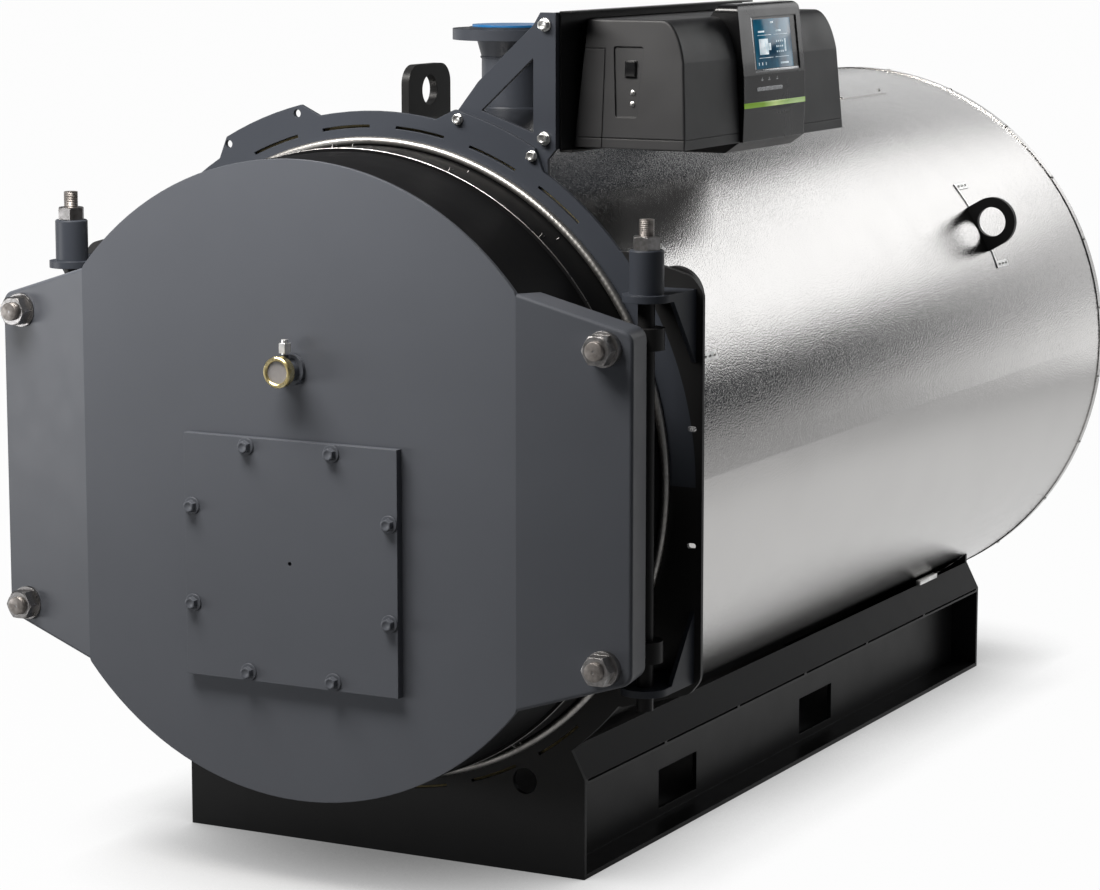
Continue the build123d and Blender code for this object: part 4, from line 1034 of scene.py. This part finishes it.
def screen():
    """Lit picture with plain tiles, and silver trim along the bottom and left edges of the glass."""
    mesh = bmesh.new()
    low = Vector((*PICTURE_CORNER, GLASS_FLOOR))
    slab(mesh, low, low + Vector((*PICTURE_SIZE, 0.6)), 0.2, GLASS_FACE)
    make_piece("screen_picture", mesh, SCREEN_BLUE, "boiler")

    mesh = bmesh.new()
    tile(mesh, 17, 24, 37, 27)
    tile(mesh, 54, 31, 11, 12)
    for column in range(4):
        for row in range(3):
            tile(mesh, 88 + 8 * column, 26 + 9 * row, 4.0, 3.0)
    tile(mesh, 122, 27, 6, 22)
    for x in (8, 22, 37):
        tile(mesh, x, 6, 3, 5.0)
    tile(mesh, 100, 6, 34, 3.0)
    for x, width in ((16, 26), (90, 22)):
        tile(mesh, x, 62, width, 3.0)
    tile(mesh, 70, 77, 12, 3)
    for x in (13, 80):
        for y in (18, 57):
            tile(mesh, x, y, 57, 0.8)
    make_piece("screen_tiles", mesh, SCREEN_WHITE, "boiler")

    mesh = bmesh.new()
    x, y = GLASS_CORNER
    slab(mesh, (x, y, GLASS_FLOOR), (x + GLASS_SIZE[0] - 8, y + TRIM_WIDTH, 0.2), 0.5, GLASS_FACE)
    slab(mesh, (x, y, GLASS_FLOOR), (x + TRIM_WIDTH, y + GLASS_SIZE[1], -0.6), 0.5, GLASS_FACE)
    make_piece("screen_trim", mesh, SILVER_TRIM, "boiler")


SLOT_SPAN = (53.0, 160.0)
SLOT_RISE = 31.0
SLOT_HALF = 3.2
ICON_RISE = 46.0
ICON_SPOTS = (75.0, 104.0, 138.0)
BAR_HEIGHT = 9.0
SMILE_DIP = 7.0


def round_ended(start, stop, rise, half, steps=8):
    """Outline of a bar with round ends."""
    outline = []
    for centre, first in ((stop - half, -pi / 2), (start + half, pi / 2)):
        turns = [first + pi * i / steps for i in range(steps + 1)]
        outline += [(centre + half * cos(a), rise + half * sin(a)) for a in turns]
    return outline


def display_marks():
    """Card slot and small marks below the screen, the light bar, and under it a curved sheet of painted
    reflection and shade.
    """
    mesh = bmesh.new()
    prism(mesh, round_ended(*SLOT_SPAN, SLOT_RISE, SLOT_HALF), -0.3, 0.7, BAR_FACE)
    for x in ICON_SPOTS:
        prism(mesh, round_ended(x - 4, x + 4, ICON_RISE, 1.1), -0.3, 0.3, BAR_FACE)
        prism(mesh, round_ended(x - 1.2, x + 1.2, ICON_RISE + 3.4, 1.0), -0.3, 0.3, BAR_FACE)
    make_piece("display_slot", mesh, SILVER_TRIM, "boiler")

    mesh = bmesh.new()
    slab(mesh, (0.3, 0.0, -0.6), (SCREEN_WIDTH - 0.3, BAR_HEIGHT, 1.0), 0.8, BAR_FACE)
    make_piece("light_bar", mesh, LIGHT_BAR, "boiler")

    # The curved sheet is painted light: it stands for the curved reflection and shade under the bar.
    mesh = bmesh.new()
    steps = 24
    curve = [(SCREEN_WIDTH * i / steps, -SMILE_DIP * sin(pi * i / steps)) for i in range(1, steps)]
    painted_curve = [(0.0, DISPLAY_FOLD), (SCREEN_WIDTH, DISPLAY_FOLD)]
    painted_curve += [(x, DISPLAY_FOLD + dip) for x, dip in reversed(curve)]
    prism(mesh, painted_curve, -0.3, 0.8, LOW_FACE)
    make_piece("display_painted_curve", mesh, FINISHES["housing_plastic"], "boiler")


end_switches()
screen()
display_marks()


# Stage: pale floor, soft lamps and the camera

FLOOR_HALF = 60.0
FLOOR_GREY = 0.28
FLOOR_WHITE = 0.98
FLOOR_SHADE = 0.3
WORLD_COLOUR = (0.03, 0.032, 0.036, 1.0)


def beside_base(tree):
    """Mask that is 0 under the base frame, where no light reaches the floor, and 1 beside it."""
    low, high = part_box("base_rail_left")[0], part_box("base_rail_right")[1]
    spread = surface_axes(tree)
    outside = 0.0
    for axis, start, stop in (("X", low.x, high.x), ("Y", low.y, high.y)):
        from_middle = number(tree, "ABSOLUTE", number(tree, "SUBTRACT", spread[axis], (start + stop) / 2))
        beyond = number(tree, "GREATER_THAN", from_middle, (stop - start) / 2)
        outside = number(tree, "MAXIMUM", outside, beyond)
    return outside


def studio_floor():
    """Wide pale floor that reads as white, keeps the boiler's shadow and fades in reflections."""
    mesh = bmesh.new()
    corners = ((-1, -1), (1, -1), (1, 1), (-1, 1))
    mesh.faces.new([mesh.verts.new((x * FLOOR_HALF, y * FLOOR_HALF, 0)) for x, y in corners])
    data = bpy.data.meshes.new("studio_floor")
    mesh.to_mesh(data)
    mesh.free()
    finish = bpy.data.materials.new("studio_floor")
    finish.use_nodes = True
    tree = finish.node_tree
    tree.nodes.clear()
    pale = place(tree, "BsdfDiffuse", {"Color": (FLOOR_GREY, FLOOR_GREY, FLOOR_GREY, 1.0)})
    glow = place(tree, "Emission", {"Color": (1.0, 1.0, 1.0, 1.0), "Strength": 1.0})
    path = place(tree, "LightPath").outputs
    # Reflections see less of the white in front of the door, far behind and far to the right.
    spread = surface_axes(tree)
    from_front = remap(tree, spread["Y"], -1.6, 0.0, 0.12, 0.8)
    to_back = remap(tree, spread["Y"], 2.0, 5.0, 1.0, 0.65)
    to_right = remap(tree, spread["X"], 1.2, 3.0, 1.0, 0.62)
    mirrored = number(tree, "MULTIPLY", number(tree, "MULTIPLY", from_front, to_back), to_right)
    reflected = number(tree, "MULTIPLY", path["Is Glossy Ray"], mirrored)
    seen = number(tree, "ADD", path["Is Camera Ray"], reflected)
    seen = number(tree, "ADD", seen, path["Is Transmission Ray"], clamp=True)
    # The white glow fades with ambient occlusion near the boiler: a painted contact shadow.
    ao_painted_shade = place(tree, "AmbientOcclusion", {"Distance": FLOOR_SHADE}, samples=8).outputs["AO"]
    share = number(tree, "MULTIPLY", number(tree, "MULTIPLY", seen, ao_painted_shade), FLOOR_WHITE)
    share = number(tree, "MULTIPLY", share, beside_base(tree))
    mix = place(tree, "MixShader", {0: share, 1: pale.outputs["BSDF"], 2: glow.outputs["Emission"]})
    place(tree, "OutputMaterial", {"Surface": mix.outputs["Shader"]})
    data.materials.append(finish)
    floor = bpy.data.objects.new("studio_floor", data)
    bpy.context.scene.collection.objects.link(floor)


def soft_lamp(name, spot, aim, size, watts, colour=(1.0, 1.0, 1.0)):
    """Large rectangular lamp turned towards a point."""
    light = bpy.data.lights.new(name, "AREA")
    light.shape = "RECTANGLE"
    light.size, light.size_y = size
    light.energy = watts
    light.color = colour
    lamp = bpy.data.objects.new(name, light)
    lamp.location = spot
    lamp.rotation_euler = (Vector(aim) - Vector(spot)).to_track_quat("-Z", "Y").to_euler()
    lamp.visible_camera = False
    bpy.context.scene.collection.objects.link(lamp)


def studio_light():
    """Soft light from above the door, from both sides, from behind the shell and over it."""
    world = bpy.data.worlds.new("studio")
    world.use_nodes = True
    world.node_tree.nodes["Background"].inputs["Color"].default_value = WORLD_COLOUR
    bpy.context.scene.world = world
    soft_lamp("front_lamp", (-0.4, -1.95, 2.35), (-0.35, -1.8, 0.0), (1.4, 0.7), 82.0, (1.0, 0.97, 0.93))
    soft_lamp("left_lamp", (-3.3, -3.1, 0.45), (-0.55, -1.1, 0.6), (2.0, 0.6), 44.0)
    soft_lamp("back_lamp", (1.8, 3.6, 2.45), (1.8, 0.0, 2.45), (2.8, 1.7), 24.0)
    soft_lamp("rear_fill", (-1.0, 3.6, 2.05), (-1.0, 0.0, 2.05), (2.8, 1.2), 7.9)
    soft_lamp("low_fill", (1.35, 3.6, 0.9), (1.35, 0.0, 0.9), (1.1, 1.4), 3.6)
    soft_lamp("side_fill", (-4.2, 0.8, 1.8), (0.0, 0.8, 1.2), (4.0, 2.6), 26.0)
    soft_lamp("top_fill", (-0.8, 1.4, 4.2), (-0.8, 1.4, 0.0), (3.0, 3.0), 12.0)
    soft_lamp("right_fill", (4.4, 0.9, 2.0), (0.0, 0.9, 1.0), (5.0, 3.0), 9.0)



PHOTO_WIDTH = 1100.0
PHOTO_FOCAL = 3440.47
CAMERA_SPOT = (2.9977, -6.0031, 1.6616)
CAMERA_TURN = 27.755
CAMERA_TILT = 9.0675


def photo_camera():
    """Camera that stands where the photograph was taken from."""
    lens = bpy.data.cameras.new("photo_camera")
    lens.sensor_width = 36.0
    lens.lens = PHOTO_FOCAL / PHOTO_WIDTH * lens.sensor_width
    lens.clip_end = 400.0
    camera = bpy.data.objects.new("photo_camera", lens)
    camera.location = CAMERA_SPOT
    camera.rotation_euler = (radians(90.0 - CAMERA_TILT), 0.0, radians(CAMERA_TURN))
    bpy.context.scene.collection.objects.link(camera)
    bpy.context.scene.camera = camera


studio_floor()
studio_light()
photo_camera()
bpy.context.scene.view_settings.view_transform = "Standard"
